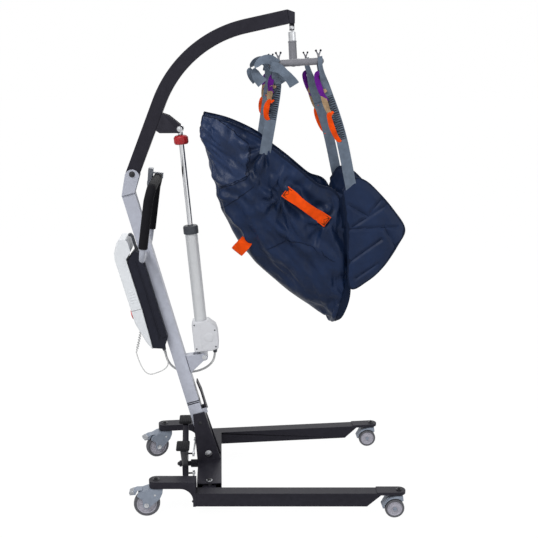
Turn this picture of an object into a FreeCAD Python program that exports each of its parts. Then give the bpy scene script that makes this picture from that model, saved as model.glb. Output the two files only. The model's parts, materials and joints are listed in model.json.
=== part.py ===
"""Patient lift hoist: a parametric FreeCAD document, in millimetres.

+X runs forward along the legs, +Y to the hoist's left, +Z up. The floor is Z = 0, and the origin lies below the
middle of the whole outline. Pieces are drawn from the mast's pivot bolt and moved back by origin_shift.
"""
import FreeCAD, Part
import math
import os
import re
import Sketcher

V = FreeCAD.Vector
Y_AXIS = V(0, 1, 0)
Z_AXIS = V(0, 0, 1)

SIZES = {
    # frame
    "origin_shift": 203.7,
    # base: cross beam and the bolts in it
    "beam_back": 43.0, "beam_front": 52.0, "beam_half": 232.0, "beam_low": 60.0, "beam_top": 110.0,
    "tube_wall": 3.0, "leg_pivot_fwd": 5.0, "leg_pivot_out": 215.0, "leg_bolt_rad": 8.0, "fit_gap": 0.05,
    # legs, in the leg's own frame: x forward from its pivot, y outward
    "leg_splay": 3.2, "leg_out": 56.1, "leg_wide": 50.0, "leg_low": 46.0, "leg_top": 100.0,
    "leg_back": 47.0, "leg_cut_low": 603.0, "leg_cut_top": 655.0, "plate_start": 640.0,
    "plate_low": 92.0, "plate_top": 104.0, "front_stem_fwd": 725.3, "rear_stem_back": 198.2,
    "arm_low": 120.0, "arm_top": 147.0, "arm_wide": 54.0, "gusset_rad": 48.0, "end_plate": 10.0,
    "lug_low": 70.0, "lug_top": 98.0, "lug_rad": 26.0,
    # castors
    "rear_wheel_rad": 50.0, "rear_wheel_wide": 30.0, "rear_trail": 37.0, "rear_stem_rad": 6.0,
    "front_wheel_rad": 37.5, "front_wheel_wide": 21.0, "front_wheel_gap": 12.0, "front_trail": 18.0,
    "front_stem_rad": 5.5, "axle_rad": 4.0, "pedal_reach": 100.0,
    # leg spreading gear
    "shaft_high": 80.0, "shaft_rad": 10.0, "shaft_end": 112.0, "stud_swing": 44.0, "rod_plane": 63.0,
    "ball_rad": 7.0, "tie_rod_rad": 4.0, "tie_end_out": 228.2, "tie_end_high": 78.0,
    # mast, in its own frame: x forward, z along the mast from its bolt
    "bolt_high": 138.0, "mast_lean": 15.0, "mast_side": 50.0, "mast_foot": 8.0, "mast_long": 1100.6,
    "mast_bolt_rad": 8.0, "cheek_in": 26.0, "cheek_thick": 6.0,
    "latch_fwd": 37.0, "latch_up": 181.0, "latch_wide": 42.0, "latch_pin_rad": 3.0,
    # boom and its pivot
    "boom_pivot_fwd": -267.0, "boom_pivot_high": 1278.0, "boom_side": 50.0, "boom_rise": 67.9,
    "boom_run": 286.0, "boom_bend": 450.0, "boom_turn": 55.6, "boom_nose": 160.0, "boom_pin_rad": 10.0,
    # actuator
    "act_fwd": -10.0, "act_high": 546.0, "eye_fwd": -86.0, "eye_high": 1444.0, "act_tube_rad": 24.0,
    "act_tube_start": 153.0, "act_tube_end": 503.0, "act_cap_end": 531.0, "rod_rad": 10.25,
    "rod_start": 350.0, "eye_rad": 15.0, "collar_start": 843.0, "collar_end": 877.0, "collar_rad": 26.0,
    # hanger, in its own frame: z up from the swivel pin
    "swivel_fwd": 331.0, "swivel_high": 1808.0, "hanger_tip": 3.4, "spread_half": 225.0,
    "spread_low": 124.0, "spread_rad": 12.0, "hook_fwd": 75.0, "hook_rise": 38.0,
    # push handle
    "grip_half": 198.0, "grip_tube_rad": 11.0, "grip_foam_rad": 17.0, "grip_bend": 45.0,
    # control unit and battery, in the mast's frame
    "box_wide": 130.0, "bracket_wide": 112.0, "box_seam": 668.0, "stop_high": 640.0, "stop_rad": 19.0,
}

doc = FreeCAD.newDocument("patient_lift_hoist")
sheet = doc.addObject("Spreadsheet::Sheet", "Sizes")
for row, (alias, value) in enumerate(SIZES.items(), start=1):
    sheet.set(f"A{row}", alias)
    sheet.set(f"B{row}", str(value))
    sheet.setAlias(f"B{row}", alias)
doc.recompute()

NODES = []
WORDS = re.compile(r"\b(" + "|".join(SIZES) + r")\b")


def bound(formula):
    """The formula with each size's name pointing at its cell."""
    return WORDS.sub(r"Sizes.\1", formula)


def size(formula):
    """The number that a formula gives, from a scratch cell; it lets sketches start from their solved shape."""
    if not isinstance(formula, str):
        return float(formula)
    sheet.set("D1", "=" + formula)
    sheet.recompute()
    return float(sheet.get("D1"))


def bind(item, prop, formula):
    """Sets a property to a number, or to a formula on the sheet."""
    if isinstance(formula, str):
        item.setExpression(prop, bound(formula))
    else:
        head = prop.lstrip(".")
        if "." in head:
            item.setExpression(prop, str(formula))
        else:
            setattr(item, head, formula)


# ---------------------------------------------------------------- frames

def world():
    return FreeCAD.Placement(V(-size("origin_shift"), 0, 0), FreeCAD.Rotation())


def mast_frame():
    turn = FreeCAD.Rotation(Y_AXIS, -size("mast_lean"))
    return world() * FreeCAD.Placement(V(0, 0, size("bolt_high")), turn)


def leg_frame(side):
    turn = FreeCAD.Rotation(Z_AXIS, side * size("leg_splay"))
    return world() * FreeCAD.Placement(V(size("leg_pivot_fwd"), side * size("leg_pivot_out"), 0), turn)


def castor_frame(side, front, heading):
    """A castor's frame on its stem's axis, at floor level; heading turns it about the stem."""
    along = size("front_stem_fwd") if front else -size("rear_stem_back")
    turn = FreeCAD.Rotation(Z_AXIS, heading - side * size("leg_splay"))
    return leg_frame(side) * FreeCAD.Placement(V(along, side * size("leg_out"), 0), turn)


def actuator_frame():
    reach = V(size("eye_fwd") - size("act_fwd"), 0, size("eye_high") - size("act_high"))
    turn = FreeCAD.Rotation(Z_AXIS, reach)
    return world() * FreeCAD.Placement(V(size("act_fwd"), 0, size("act_high")), turn)


def hanger_frame():
    turn = FreeCAD.Rotation(Y_AXIS, -size("hanger_tip"))
    return world() * FreeCAD.Placement(V(size("swivel_fwd"), 0, size("swivel_high")), turn)


def node(item, label, frame):
    """Names a finished sub-part and sets it in its frame; the shift to the origin stays bound to the sheet."""
    item.Label = label
    rest = FreeCAD.Placement(frame)
    item.Placement = rest
    forward = rest.Base.x + size("origin_shift")
    item.setExpression(".Placement.Base.x", f"{forward:.6f} - Sizes.origin_shift")
    NODES.append(item)
    return item


# ---------------------------------------------------------------- primitives bound to the sheet

def box(name, x, y, z, length, width, height):
    """A block with its low corner at x, y, z."""
    item = doc.addObject("Part::Box", name)
    for prop, formula in (("Length", length), ("Width", width), ("Height", height)):
        bind(item, prop, formula)
    for axis, formula in zip("xyz", (x, y, z)):
        bind(item, f".Placement.Base.{axis}", formula)
    return item


TURNS = {"x": FreeCAD.Rotation(Y_AXIS, 90), "y": FreeCAD.Rotation(V(1, 0, 0), -90), "z": FreeCAD.Rotation()}


def bar(name, axis, x, y, z, radius, length):
    """A round bar that starts at x, y, z and runs along an axis."""
    item = doc.addObject("Part::Cylinder", name)
    item.Placement.Rotation = TURNS[axis]
    bind(item, "Radius", radius)
    bind(item, "Height", length)
    for part, formula in zip("xyz", (x, y, z)):
        bind(item, f".Placement.Base.{part}", formula)
    return item


def ball(name, x, y, z, radius):
    item = doc.addObject("Part::Sphere", name)
    bind(item, "Radius", radius)
    for part, formula in zip("xyz", (x, y, z)):
        bind(item, f".Placement.Base.{part}", formula)
    return item


def fuse(name, *items):
    joined = doc.addObject("Part::MultiFuse", name)
    joined.Shapes = list(items)
    return joined


def cut(name, base, *tools):
    result = doc.addObject("Part::Cut", name)
    result.Base = base
    result.Tool = tools[0] if len(tools) == 1 else fuse(name + "_tools", *tools)
    return result


def rounded(name, base, radius, chosen):
    """Rounds the edges of a finished form that the test picks."""
    doc.recompute()
    item = doc.addObject("Part::Fillet", name)
    item.Base = base
    edges = [i + 1 for i, edge in enumerate(base.Shape.Edges) if chosen(edge)]
    item.Edges = [(i, radius, radius) for i in edges]
    return item


# ---------------------------------------------------------------- sketched bodies

def new_body(name):
    return doc.addObject("PartDesign::Body", name)


def arc_between(start, end, radius):
    """The arc from start to end; a positive radius turns left, a negative one right."""
    chord = end - start
    middle = (start + end) * 0.5
    rise = math.sqrt(max(radius * radius - chord.Length ** 2 / 4, 0.0))
    normal = V(-chord.y, chord.x, 0).normalize()
    centre = middle + normal * (rise if radius > 0 else -rise)
    first, last = (start, end) if radius > 0 else (end, start)
    angles = [math.atan2(p.y - centre.y, p.x - centre.x) for p in (first, last)]
    if angles[1] <= angles[0]:
        angles[1] += 2 * math.pi
    return Part.ArcOfCircle(Part.Circle(centre, Z_AXIS, abs(radius)), angles[0], angles[1])


def sketch(body, name, plane, corners, holes=(), offset=0.0):
    """A closed profile through the corners, each (x, y) or (x, y, radius of the arc that starts there)."""
    item = body.newObject("Sketcher::SketchObject", name)
    base = [f for f in body.Origin.OriginFeatures if f.Role == plane + "_Plane"][0]
    item.AttachmentSupport = (base, [""])
    item.MapMode = "FlatFace"
    if isinstance(offset, str):
        item.setExpression(".AttachmentOffset.Base.z", bound(offset))
    elif offset:
        item.AttachmentOffset = FreeCAD.Placement(V(0, 0, offset), FreeCAD.Rotation())
    places = [V(size(c[0]), size(c[1]), 0) for c in corners]
    radii = [size(c[2]) if len(c) > 2 else 0.0 for c in corners]
    count = len(corners)
    ends = []
    for i, radius in enumerate(radii):
        start, end = places[i], places[(i + 1) % count]
        if radius:
            item.addGeometry(arc_between(start, end, radius), False)
            ends.append((1, 2) if radius > 0 else (2, 1))
        else:
            item.addGeometry(Part.LineSegment(start, end), False)
            ends.append((1, 2))
    for i in range(count):
        after = (i + 1) % count
        item.addConstraint(Sketcher.Constraint("Coincident", i, ends[i][1], after, ends[after][0]))
    for i, corner in enumerate(corners):
        for kind, part, value in (("DistanceX", 0, places[i].x), ("DistanceY", 1, places[i].y)):
            held = item.addConstraint(Sketcher.Constraint(kind, -1, 1, i, ends[i][0], value))
            if isinstance(corner[part], str):
                item.setExpression(f"Constraints[{held}]", bound(corner[part]))
        chord = places[(i + 1) % count] - places[i]
        if radii[i] and chord.Length > 1.999 * abs(radii[i]):
            # a half circle is held by its centre: its radius follows from its ends
            centre = (places[i] + places[(i + 1) % count]) * 0.5
            kind, part, value = ("DistanceX", 0, centre.x) if abs(chord.y) > abs(chord.x) else (
                "DistanceY", 1, centre.y)
            held = item.addConstraint(Sketcher.Constraint(kind, -1, 1, i, 3, value))
            if isinstance(corner[part], str):
                item.setExpression(f"Constraints[{held}]", bound(corner[part]))
        elif radii[i]:
            held = item.addConstraint(Sketcher.Constraint("Radius", i, abs(radii[i])))
            if isinstance(corner[2], str):
                item.setExpression(f"Constraints[{held}]", f"abs({bound(corner[2])})")
    for j, (x, y, radius) in enumerate(holes):
        centre = V(size(x), size(y), 0)
        item.addGeometry(Part.Circle(centre, Z_AXIS, size(radius)), False)
        for kind, formula, value in (("DistanceX", x, centre.x), ("DistanceY", y, centre.y)):
            held = item.addConstraint(Sketcher.Constraint(kind, -1, 1, count + j, 3, value))
            if isinstance(formula, str):
                item.setExpression(f"Constraints[{held}]", bound(formula))
        held = item.addConstraint(Sketcher.Constraint("Radius", count + j, size(radius)))
        if isinstance(radius, str):
            item.setExpression(f"Constraints[{held}]", bound(radius))
    return item


def pad(body, name, profile, length, middle=True):
    """Thickens a sketch: about its plane, or forward along the plane's normal."""
    item = body.newObject("PartDesign::Pad", name)
    item.Profile = profile
    item.Midplane = middle
    bind(item, "Length", length)
    return item


def pocket(body, name, profile, length, middle=True):
    item = body.newObject("PartDesign::Pocket", name)
    item.Profile = profile
    item.Midplane = middle
    bind(item, "Length", length)
    return item


def plate(name, plane, corners, thick, holes=(), offset=0.0):
    """A flat piece: one profile with its holes, padded to both sides of its plane."""
    body = new_body(name)
    pad(body, name + "_pad", sketch(body, name + "_profile", plane, corners, holes, offset), thick)
    return body


def turned(name, corners):
    """A turned piece: a profile in radius and height, spun about its upright axis."""
    body = new_body(name)
    profile = sketch(body, name + "_profile", "XZ", corners)
    spin = body.newObject("PartDesign::Revolution", name + "_spin")
    spin.Profile = profile
    spin.ReferenceAxis = (profile, ["V_Axis"])
    spin.Angle = 360
    return body


def ring_profile(inner, outer, low, high, edge=0.0):
    """A turned ring's profile; its outer corners are broken by edge."""
    if not edge:
        return [(inner, low), (outer, low), (outer, high), (inner, high)]
    return [(inner, low), (f"({outer}) - {edge}", low), (outer, f"({low}) + {edge}"),
            (outer, f"({high}) - {edge}"), (f"({outer}) - {edge}", high), (inner, high)]


# ---------------------------------------------------------------- tubes along a route

def bent_wire(points, radii):
    """Straight runs through the points, joined by tangent arcs of the radii given for the inner points."""
    edges = []
    here = points[0]
    for before, corner, after, radius in zip(points, points[1:], points[2:], radii):
        way_in = (corner - before).normalize()
        way_out = (after - corner).normalize()
        turn = way_in.getAngle(way_out)
        back = radius * math.tan(turn / 2)
        start = corner - way_in * back
        end = corner + way_out * back
        bisector = (way_out - way_in).normalize()
        middle = corner + bisector * (radius / math.cos(turn / 2) - radius)
        edges.append(Part.LineSegment(here, start).toShape())
        edges.append(Part.Arc(start, middle, end).toShape())
        here = end
    edges.append(Part.LineSegment(here, points[-1]).toShape())
    return Part.Wire(edges)


def cord_radii(points):
    """The largest arcs that the runs leave room for: 0.45 of the shorter run over the tangent of half the turn."""
    radii = []
    for before, corner, after in zip(points, points[1:], points[2:]):
        turn = (corner - before).getAngle(after - corner)
        shorter = min((corner - before).Length, (after - corner).Length)
        radii.append(0.45 * shorter / math.tan(turn / 2))
    return radii


def swept(points, wire, radius):
    """A round bar of the radius along a wire that starts at the first point, towards the second."""
    start = points[0]
    circle = Part.Wire(Part.Circle(start, points[1] - start, radius).toShape())
    return wire.makePipeShell([circle], True, False)


def set_shape(name, shape):
    """A form that no primitive gives, kept in a feature of its own."""
    item = doc.addObject("Part::Feature", name)
    item.Shape = shape
    return item


# ---------------------------------------------------------------- base

def make_base():
    """The cross beam, the socket that holds the mast, and the bolts that the legs and the mast turn on."""
    outer = box("beam_outer", "-beam_back", "-beam_half", "beam_low", "beam_back + beam_front", "2 * beam_half",
                "beam_top - beam_low")
    inner = box("beam_inner", "4 - beam_back", "-beam_half - 1", "beam_low + 4", "beam_back + beam_front - 8",
                "2 * beam_half + 2", "beam_top - beam_low - 8")
    holes = [bar(f"beam_hole_{side}", "z", "leg_pivot_fwd", f"{side} * leg_pivot_out", "beam_low - 1",
                 "leg_bolt_rad", "beam_top - beam_low + 2") for side in (1, -1)]
    node(cut("cross_beam_cut", outer, inner, *holes), "cross_beam", world())
    bolts = []
    for side in (1, -1):
        out = f"{side} * leg_pivot_out"
        bolts.append(fuse(
            f"leg_bolt_{side}",
            bar(f"leg_bolt_shank_{side}", "z", "leg_pivot_fwd", out, "beam_low", "leg_bolt_rad",
                "beam_top - beam_low"),
            bar(f"leg_bolt_head_{side}", "z", "leg_pivot_fwd", out, "beam_top", "leg_bolt_rad + 4", 5),
            bar(f"leg_bolt_nut_{side}", "z", "leg_pivot_fwd", out, "beam_low - 7", "leg_bolt_rad + 4", 7)))
    pair = doc.addObject("Part::Compound", "leg_bolts")
    pair.Links = bolts
    node(pair, "leg_pivot_bolts", world())

    cheeks = plate("socket_cheeks", "XZ", [(-46, "beam_top"), (50, "beam_top"), (-14, 318), (-60, 307)],
                   "2 * (cheek_in + cheek_thick)", [(0, "bolt_high", "mast_bolt_rad")])
    slot = sketch(cheeks, "socket_slot", "XZ", [(-90, "beam_top - 1"), (90, "beam_top - 1"), (90, 340), (-90, 340)])
    pocket(cheeks, "socket_slot_cut", slot, "2 * cheek_in")
    web_back = box("socket_web", -33, "-cheek_in", "beam_top", 5, "2 * cheek_in", 8)
    node(fuse("socket_fuse", cheeks, web_back), "mast_socket", world())

    reach = "cheek_in + cheek_thick"
    node(fuse("mast_bolt",
              bar("mast_bolt_shank", "y", 0, f"-({reach})", "bolt_high", "mast_bolt_rad", f"2 * ({reach})"),
              bar("mast_bolt_washer", "y", 0, f"-({reach}) - 3", "bolt_high", 13.5, 3),
              bar("mast_bolt_head", "y", 0, f"-({reach}) - 11", "bolt_high", 10.5, 8),
              bar("mast_bolt_nut", "y", 0, reach, "bolt_high", 12, 9)), "mast_pivot_bolt", world())

    node(fuse("shaft",
              bar("shaft_bar", "x", "-shaft_end", 0, "shaft_high", "shaft_rad", "shaft_end - beam_back"),
              bar("shaft_collar", "x", "-shaft_end + 38", 0, "shaft_high", "shaft_rad + 6",
                  "shaft_end - beam_back - 38"),
              bar("shaft_head", "x", "-shaft_end - 8", 0, "shaft_high", "shaft_rad + 3", 8)), "pedal_shaft", world())


def make_pedals():
    """The V-shaped rocker on its shaft, a foot pad on each arm, and a ball stud above and below the shaft."""
    profile = [(-14, 28), (14, 28), (17, 76), (134, 196), (134, 212), (108, 212), (15, 112), (13, 136),
               (-13, 136), (-15, 112), (-108, 212), (-134, 212), (-134, 196), (-17, 76)]
    body = new_body("rocker_plate")
    flat = sketch(body, "rocker_profile", "YZ", profile, [(0, "shaft_high", "shaft_rad + fit_gap")],
                  "-shaft_end + 3")
    pad(body, "rocker_pad", flat, 24, middle=False)
    studs = []
    for sign, word in ((1, "upper"), (-1, "lower")):
        high = f"shaft_high + {sign} * stud_swing"
        studs.append(bar(f"rocker_stud_{word}", "x", "-shaft_end + 20", 0, high, 3.5,
                         "shaft_end - rod_plane - 18"))
        studs.append(ball(f"rocker_ball_{word}", "-rod_plane", 0, high, "ball_rad - 0.5"))
    node(fuse("rocker", body, *studs), "pedal_rocker", world())
    pads = []
    for side in (1, -1):
        foot = box(f"foot_pad_{side}", -124, f"{side} * 128 - 36", 212, 52, 72, 13)
        pads.append(rounded(f"foot_pad_round_{side}", foot, 5, lambda e: True))
    pair = doc.addObject("Part::Compound", "foot_pads")
    pair.Links = pads
    node(pair, "foot_pads", world())


def make_tie_rod(side, word):
    """A rod from a stud of the rocker to the leg's end plate, with a ball joint at both ends."""
    sign = 1 if side > 0 else -1
    inner = V(-size("rod_plane"), 0, size("shaft_high") + sign * size("stud_swing"))
    outer = V(-size("rod_plane"), side * size("tie_end_out"), size("tie_end_high"))
    way = (outer - inner).normalize()
    ends = []
    for centre, bore in ((inner, size("ball_rad") + 1.8), (outer, size("ball_rad") + 0.4)):
        ring = Part.makeCylinder(12, 9, centre - V(4.5, 0, 0), V(1, 0, 0))
        ends.append((ring, Part.makeCylinder(bore, 12, centre - V(6, 0, 0), V(1, 0, 0))))
    start, stop = inner + way * 10.5, outer - way * 10.5
    shape = Part.makeCylinder(size("tie_rod_rad"), (stop - start).Length, start, way)
    for ring, bore in ends:
        shape = shape.fuse(ring)
    for ring, bore in ends:
        shape = shape.cut(bore)
    node(set_shape(f"tie_rod_{word}_shape", shape.removeSplitter()), f"{word}_tie_rod", world())


# ---------------------------------------------------------------- legs

def make_leg(side, word):
    """One leg: its tube with the pivot lug, the plate over the front castor and the raised arm over the rear one."""
    middle = f"{side} * leg_out"
    offset = f"{-side} * leg_out"
    inset = "leg_wide / 2 - tube_wall"
    tube = new_body(f"{word}_leg")
    outline = [("-leg_back", "leg_low"), ("leg_cut_low", "leg_low"), ("leg_cut_top", "plate_low"),
               ("plate_start", "plate_low"), ("plate_start", "leg_top"), ("-leg_back", "leg_top")]
    pad(tube, f"{word}_leg_pad", sketch(tube, f"{word}_leg_side", "XZ", outline, (), offset), "leg_wide")
    hollow = [("-leg_back + 3", "leg_low + 3"), ("leg_cut_low - 6", "leg_low + 3"), ("leg_cut_low + 24", 76),
              ("leg_cut_low + 24", "leg_top - 3"), ("-leg_back + 3", "leg_top - 3")]
    pocket(tube, f"{word}_leg_bore", sketch(tube, f"{word}_leg_hollow", "XZ", hollow, (), offset),
           "leg_wide - 2 * tube_wall")
    inner = f"{side} * (leg_out - leg_wide / 2)"
    near, far = ("lug_rad", "-lug_rad") if side > 0 else ("-lug_rad", "lug_rad")
    lug = [(near, 0), (near, inner), (far, inner), (far, 0, "lug_rad")]
    lug_face = sketch(tube, f"{word}_lug_plan", "XY", lug, [(0, 0, "leg_bolt_rad + fit_gap")], "lug_low")
    pad(tube, f"{word}_lug", lug_face, "lug_top - lug_low", middle=False)
    node(tube, f"{word}_leg_tube", leg_frame(side))

    reach = "front_stem_fwd"
    low, high = f"{middle} - leg_wide / 2", f"{middle} + leg_wide / 2"
    plan = [("plate_start", low), (reach, low, "leg_wide / 2"), (reach, high), ("plate_start", high)]
    flat = new_body(f"{word}_plate")
    face = sketch(flat, f"{word}_plate_plan", "XY", plan, [(reach, middle, "front_stem_rad + fit_gap")], "plate_low")
    pad(flat, f"{word}_plate_pad", face, "plate_top - plate_low", middle=False)
    node(flat, f"{word}_front_plate", leg_frame(side))

    arm = new_body(f"{word}_arm")
    back = "-rear_stem_back - arm_wide / 2"
    front = "-leg_back"
    web = "-leg_back - end_plate"
    form = [(back, "arm_low"), (f"{web} - gusset_rad", "arm_low", "-gusset_rad"), (web, "arm_low - gusset_rad"),
            (web, "leg_low"), (front, "leg_low"), (front, "arm_top"), (back, "arm_top")]
    pad(arm, f"{word}_arm_pad", sketch(arm, f"{word}_arm_side", "XZ", form, (), offset), "arm_wide")
    for hand in (1, -1):
        edge = f"{middle} + {hand} * arm_wide / 2"
        beyond = f"{edge} + {hand} * 2"
        corner = [(f"{back} - 2", middle), (back, middle, f"{-hand} * arm_wide / 2"),
                  (f"{back} + arm_wide / 2", edge), (f"{back} + arm_wide / 2", beyond), (f"{back} - 2", beyond)]
        pocket(arm, f"{word}_arm_corner_cut_{hand + 1}",
               sketch(arm, f"{word}_arm_corner_{hand + 1}", "XY", corner), 400)
    stem = sketch(arm, f"{word}_arm_bore", "XY", (), [("-rear_stem_back", middle, "rear_stem_rad + fit_gap")], 133)
    pocket(arm, f"{word}_arm_hole", stem, 60)
    studs = [box(f"{word}_tie_tab", web, f"{side} * 20 - 11", 62, 7, 22, 30)]
    studs.append(bar(f"{word}_tie_stud", "x", "-leg_back - 24", f"{side} * 17", "tie_end_high", 3.5, 18))
    studs.append(ball(f"{word}_tie_ball", "-leg_back - 20", f"{side} * 17", "tie_end_high", "ball_rad"))
    node(fuse(f"{word}_arm_fuse", arm, *studs), f"{word}_rear_arm", leg_frame(side))


# ---------------------------------------------------------------- castors

def make_rear_castor(side, word, heading):
    """A braked castor: housing with its axle, tyre, hub and a foot pedal behind."""
    frame = castor_frame(side, False, heading)
    rad = "rear_wheel_rad"
    form = [(-72, 88), (-52, 74), ("-rear_trail - 13", 62), ("-rear_trail - 15", 46), ("-rear_trail", 35),
            ("-rear_trail + 14", 44), (14, 76), (24, 98), (24, 116), (-30, 116), (-66, 103)]
    body = new_body(f"{word}_housing_form")
    pad(body, f"{word}_housing_pad", sketch(body, f"{word}_housing_side", "XZ", form), 46)
    well = sketch(body, f"{word}_housing_well", "XZ",
                  [(-110, 20), (40, 20), (40, 70), (14, 94), (-6, 104), (-45, 104), (-64, 96), (-90, 80)])
    pocket(body, f"{word}_housing_cut", well, 34)
    stem = bar(f"{word}_stem", "z", 0, 0, 110, "rear_stem_rad", "arm_top + 4 - 110")
    neck = bar(f"{word}_neck", "z", 0, 0, 112, 21, "arm_low - 0.3 - 112")
    axle = bar(f"{word}_axle", "y", "-rear_trail", -26, rad, "axle_rad", 52)
    node(fuse(f"{word}_housing_fuse", body, stem, neck, axle), f"{word}_housing", frame)

    half = "rear_wheel_wide / 2"
    lay = FreeCAD.Placement(V(-size("rear_trail"), 0, size(rad)), TURNS["y"])
    tyre = turned(f"{word}_tyre_form", ring_profile(38, rad, f"-{half}", half, 5))
    node(tyre, f"{word}_tyre", frame * lay)
    hub = turned(f"{word}_hub_form", [("axle_rad + fit_gap", -16), (12, -16), (14, -10), (34, -9), (38, -13),
                 (38, 13), (34, 9), (14, 10), (12, 16), ("axle_rad + fit_gap", 16)])
    node(hub, f"{word}_hub", frame * lay)

    pedal = plate(f"{word}_pedal_form", "XZ", [(-52, 111), (-74, 111), ("-pedal_reach", 100),
                  ("-pedal_reach", 91), (-78, 92), (-70, 109), (-52, 109)], 34)
    node(pedal, f"{word}_brake_pedal", frame)


def make_front_castor(side, word, heading):
    """A twin-wheel castor: a hooded fork between two wheels on one axle."""
    frame = castor_frame(side, True, heading)
    rad = "front_wheel_rad"
    web = [(-12, 88), (-22, 60), ("-front_trail - 8", 34), ("-front_trail + 8", 28), (12, 60), (16, 88)]
    body = plate(f"{word}_web", "XZ", web, "front_wheel_gap - 4")
    hood = new_body(f"{word}_hood_form")
    arc = [("-front_trail - 46", 40), ("-front_trail - 41", 40, -41), ("-front_trail + 29", 67),
           ("-front_trail + 32.5", 70.3), ("-front_trail + 30", 88), ("-front_trail + 6", 88),
           ("-front_trail - 26", 78)]
    pad(hood, f"{word}_hood_pad", sketch(hood, f"{word}_hood_side", "XZ", arc), 50)
    neck = bar(f"{word}_neck", "z", 0, 0, 80, 15, "plate_low - 0.3 - 80")
    stem = bar(f"{word}_stem", "z", 0, 0, 80, "front_stem_rad", "plate_top + 3 - 80")
    axle = bar(f"{word}_axle", "y", "-front_trail", -26, rad, "axle_rad", 52)
    node(fuse(f"{word}_fork_fuse", body, hood, neck, stem, axle), f"{word}_fork", frame)

    tyres, hubs = [], []
    lay = FreeCAD.Placement(V(-size("front_trail"), 0, size(rad)), TURNS["y"])
    for hand in (1, -1):
        low = "front_wheel_gap / 2" if hand > 0 else "-front_wheel_gap / 2 - front_wheel_wide"
        high = f"{low} + front_wheel_wide"
        tyres.append(turned(f"{word}_tyre_{hand}", ring_profile(29, rad, low, high, 3)))
        hubs.append(turned(f"{word}_hub_{hand}", ring_profile("axle_rad + fit_gap", 29, f"{low} + 2", f"{high} - 1")))
    for kind, items in (("tyres", tyres), ("hubs", hubs)):
        pair = doc.addObject("Part::Compound", f"{word}_{kind}_pair")
        pair.Links = items
        node(pair, f"{word}_{kind}", frame * lay)


# ---------------------------------------------------------------- mast

def make_mast():
    """The leaning mast with its welded head, the actuator's bracket and pin, and the latch on its front."""
    half = "mast_side / 2"
    outer = box("mast_outer", f"-{half}", f"-{half}", "-mast_foot", "mast_side", "mast_side", "mast_foot + mast_long")
    inner = box("mast_inner", f"-{half} + tube_wall", f"-{half} + tube_wall", "-mast_foot - 1",
                "mast_side - 2 * tube_wall", "mast_side - 2 * tube_wall", "mast_foot + mast_long + 2")
    hole = bar("mast_hole", "y", 0, -30, 0, "mast_bolt_rad + fit_gap", 60)
    ears = []
    for side in (1, -1):
        start = "latch_wide / 2 + 0.5" if side > 0 else "-latch_wide / 2 - 4.2"
        ears.append(box(f"latch_ear_{side}", "mast_side / 2 - 0.1", start, "latch_up - 10", 21, 3.7, 20))
    pin = bar("latch_pin", "y", "latch_fwd", "-latch_wide / 2 - 4.2", "latch_up", "latch_pin_rad",
              "latch_wide + 8.4")
    node(fuse("mast_fuse", cut("mast_cut", outer, inner, hole), *ears, pin), "mast_tube", mast_frame())

    pivot = ("boom_pivot_fwd", "boom_pivot_high")
    head = plate("head_cheeks", "XZ", [(-309.5, 1195), (-260.5, 1208), (-240.6, 1272, 27.4), (-294.2, 1275)], 62,
                 [(*pivot, "boom_pin_rad")])
    gap = sketch(head, "head_gap", "XZ", [(-340, 1194.5), (-330, 1194), (-208, 1226.7), (-208, 1330), (-340, 1330)])
    pocket(head, "head_gap_cut", gap, "2 * cheek_in - 0.6")
    node(head, "mast_head", world())

    node(fuse("boom_pin",
              bar("boom_pin_bar", "y", pivot[0], -31, pivot[1], "boom_pin_rad", 62),
              bar("boom_pin_cap", "y", pivot[0], -34, pivot[1], 12, 3),
              bar("boom_pin_nut", "y", pivot[0], 31, pivot[1], 12, 4)), "boom_pivot_pin", world())

    ears = plate("actuator_ears", "XZ", [(-83.4, 552), (-12, 562), ("act_fwd + 14", "act_high", -14),
                 ("act_fwd - 2", 532.2), (-64.3, 482)], 38, [("act_fwd", "act_high", "mast_bolt_rad")])
    between = sketch(ears, "ears_gap", "XZ", [(-54, 440), (60, 440), (60, 620), (-54, 620)])
    pocket(ears, "ears_gap_cut", between, 28)
    node(ears, "actuator_bracket", world())
    node(fuse("lower_pin",
              bar("lower_pin_bar", "y", "act_fwd", -19, "act_high", "mast_bolt_rad", 38),
              bar("lower_pin_head", "y", "act_fwd", -25, "act_high", 12, 6),
              bar("lower_pin_nut", "y", "act_fwd", 19, "act_high", 11, 7)), "actuator_pin", world())

    latch_pin = ("latch_fwd", "latch_up")
    lever = plate("latch_lever", "XZ", [(26, 12), (31, 12), (33, 170), (46, 182), (46, 262), (40, 306), (36, 306),
                  (40, 262), (40, 198), (27, 184)], "latch_wide", [(*latch_pin, "latch_pin_rad + fit_gap")])
    node(lever, "mast_latch", mast_frame())


def make_push_handle():
    """The closed handle loop: a steel tube out of the mast's sides, and a foam grip over all but its lower bar."""
    half, bend = size("grip_half"), size("grip_bend")
    low, high = V(-228, 0, 978), V(-184, 0, 1245)
    knee = V(-196, 0, 1200)
    side = V(0, half, 0)
    near, far = V(0, 25.2, 0), V(0, -25.2, 0)
    route = [low + near, low + side, knee + side, high + side, high - side, knee - side, low - side, low + far]
    radii = [bend, 60, bend * 0.7, bend * 0.7, 60, bend]
    tube = swept(route, bent_wire(route, radii), size("grip_tube_rad"))
    node(set_shape("handle_tube_shape", tube), "push_handle", world())
    rise = (knee - low).normalize()
    start = low + rise * 50
    grip = [start + side, knee + side, high + side, high - side, knee - side, start - side]
    path = bent_wire(grip, radii[1:-1])
    foam = swept(grip, path, size("grip_foam_rad"))
    core = swept(grip, path, size("grip_tube_rad") + 0.1)
    node(set_shape("handle_grip_shape", foam.cut(core)), "handle_grip", world())


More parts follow.
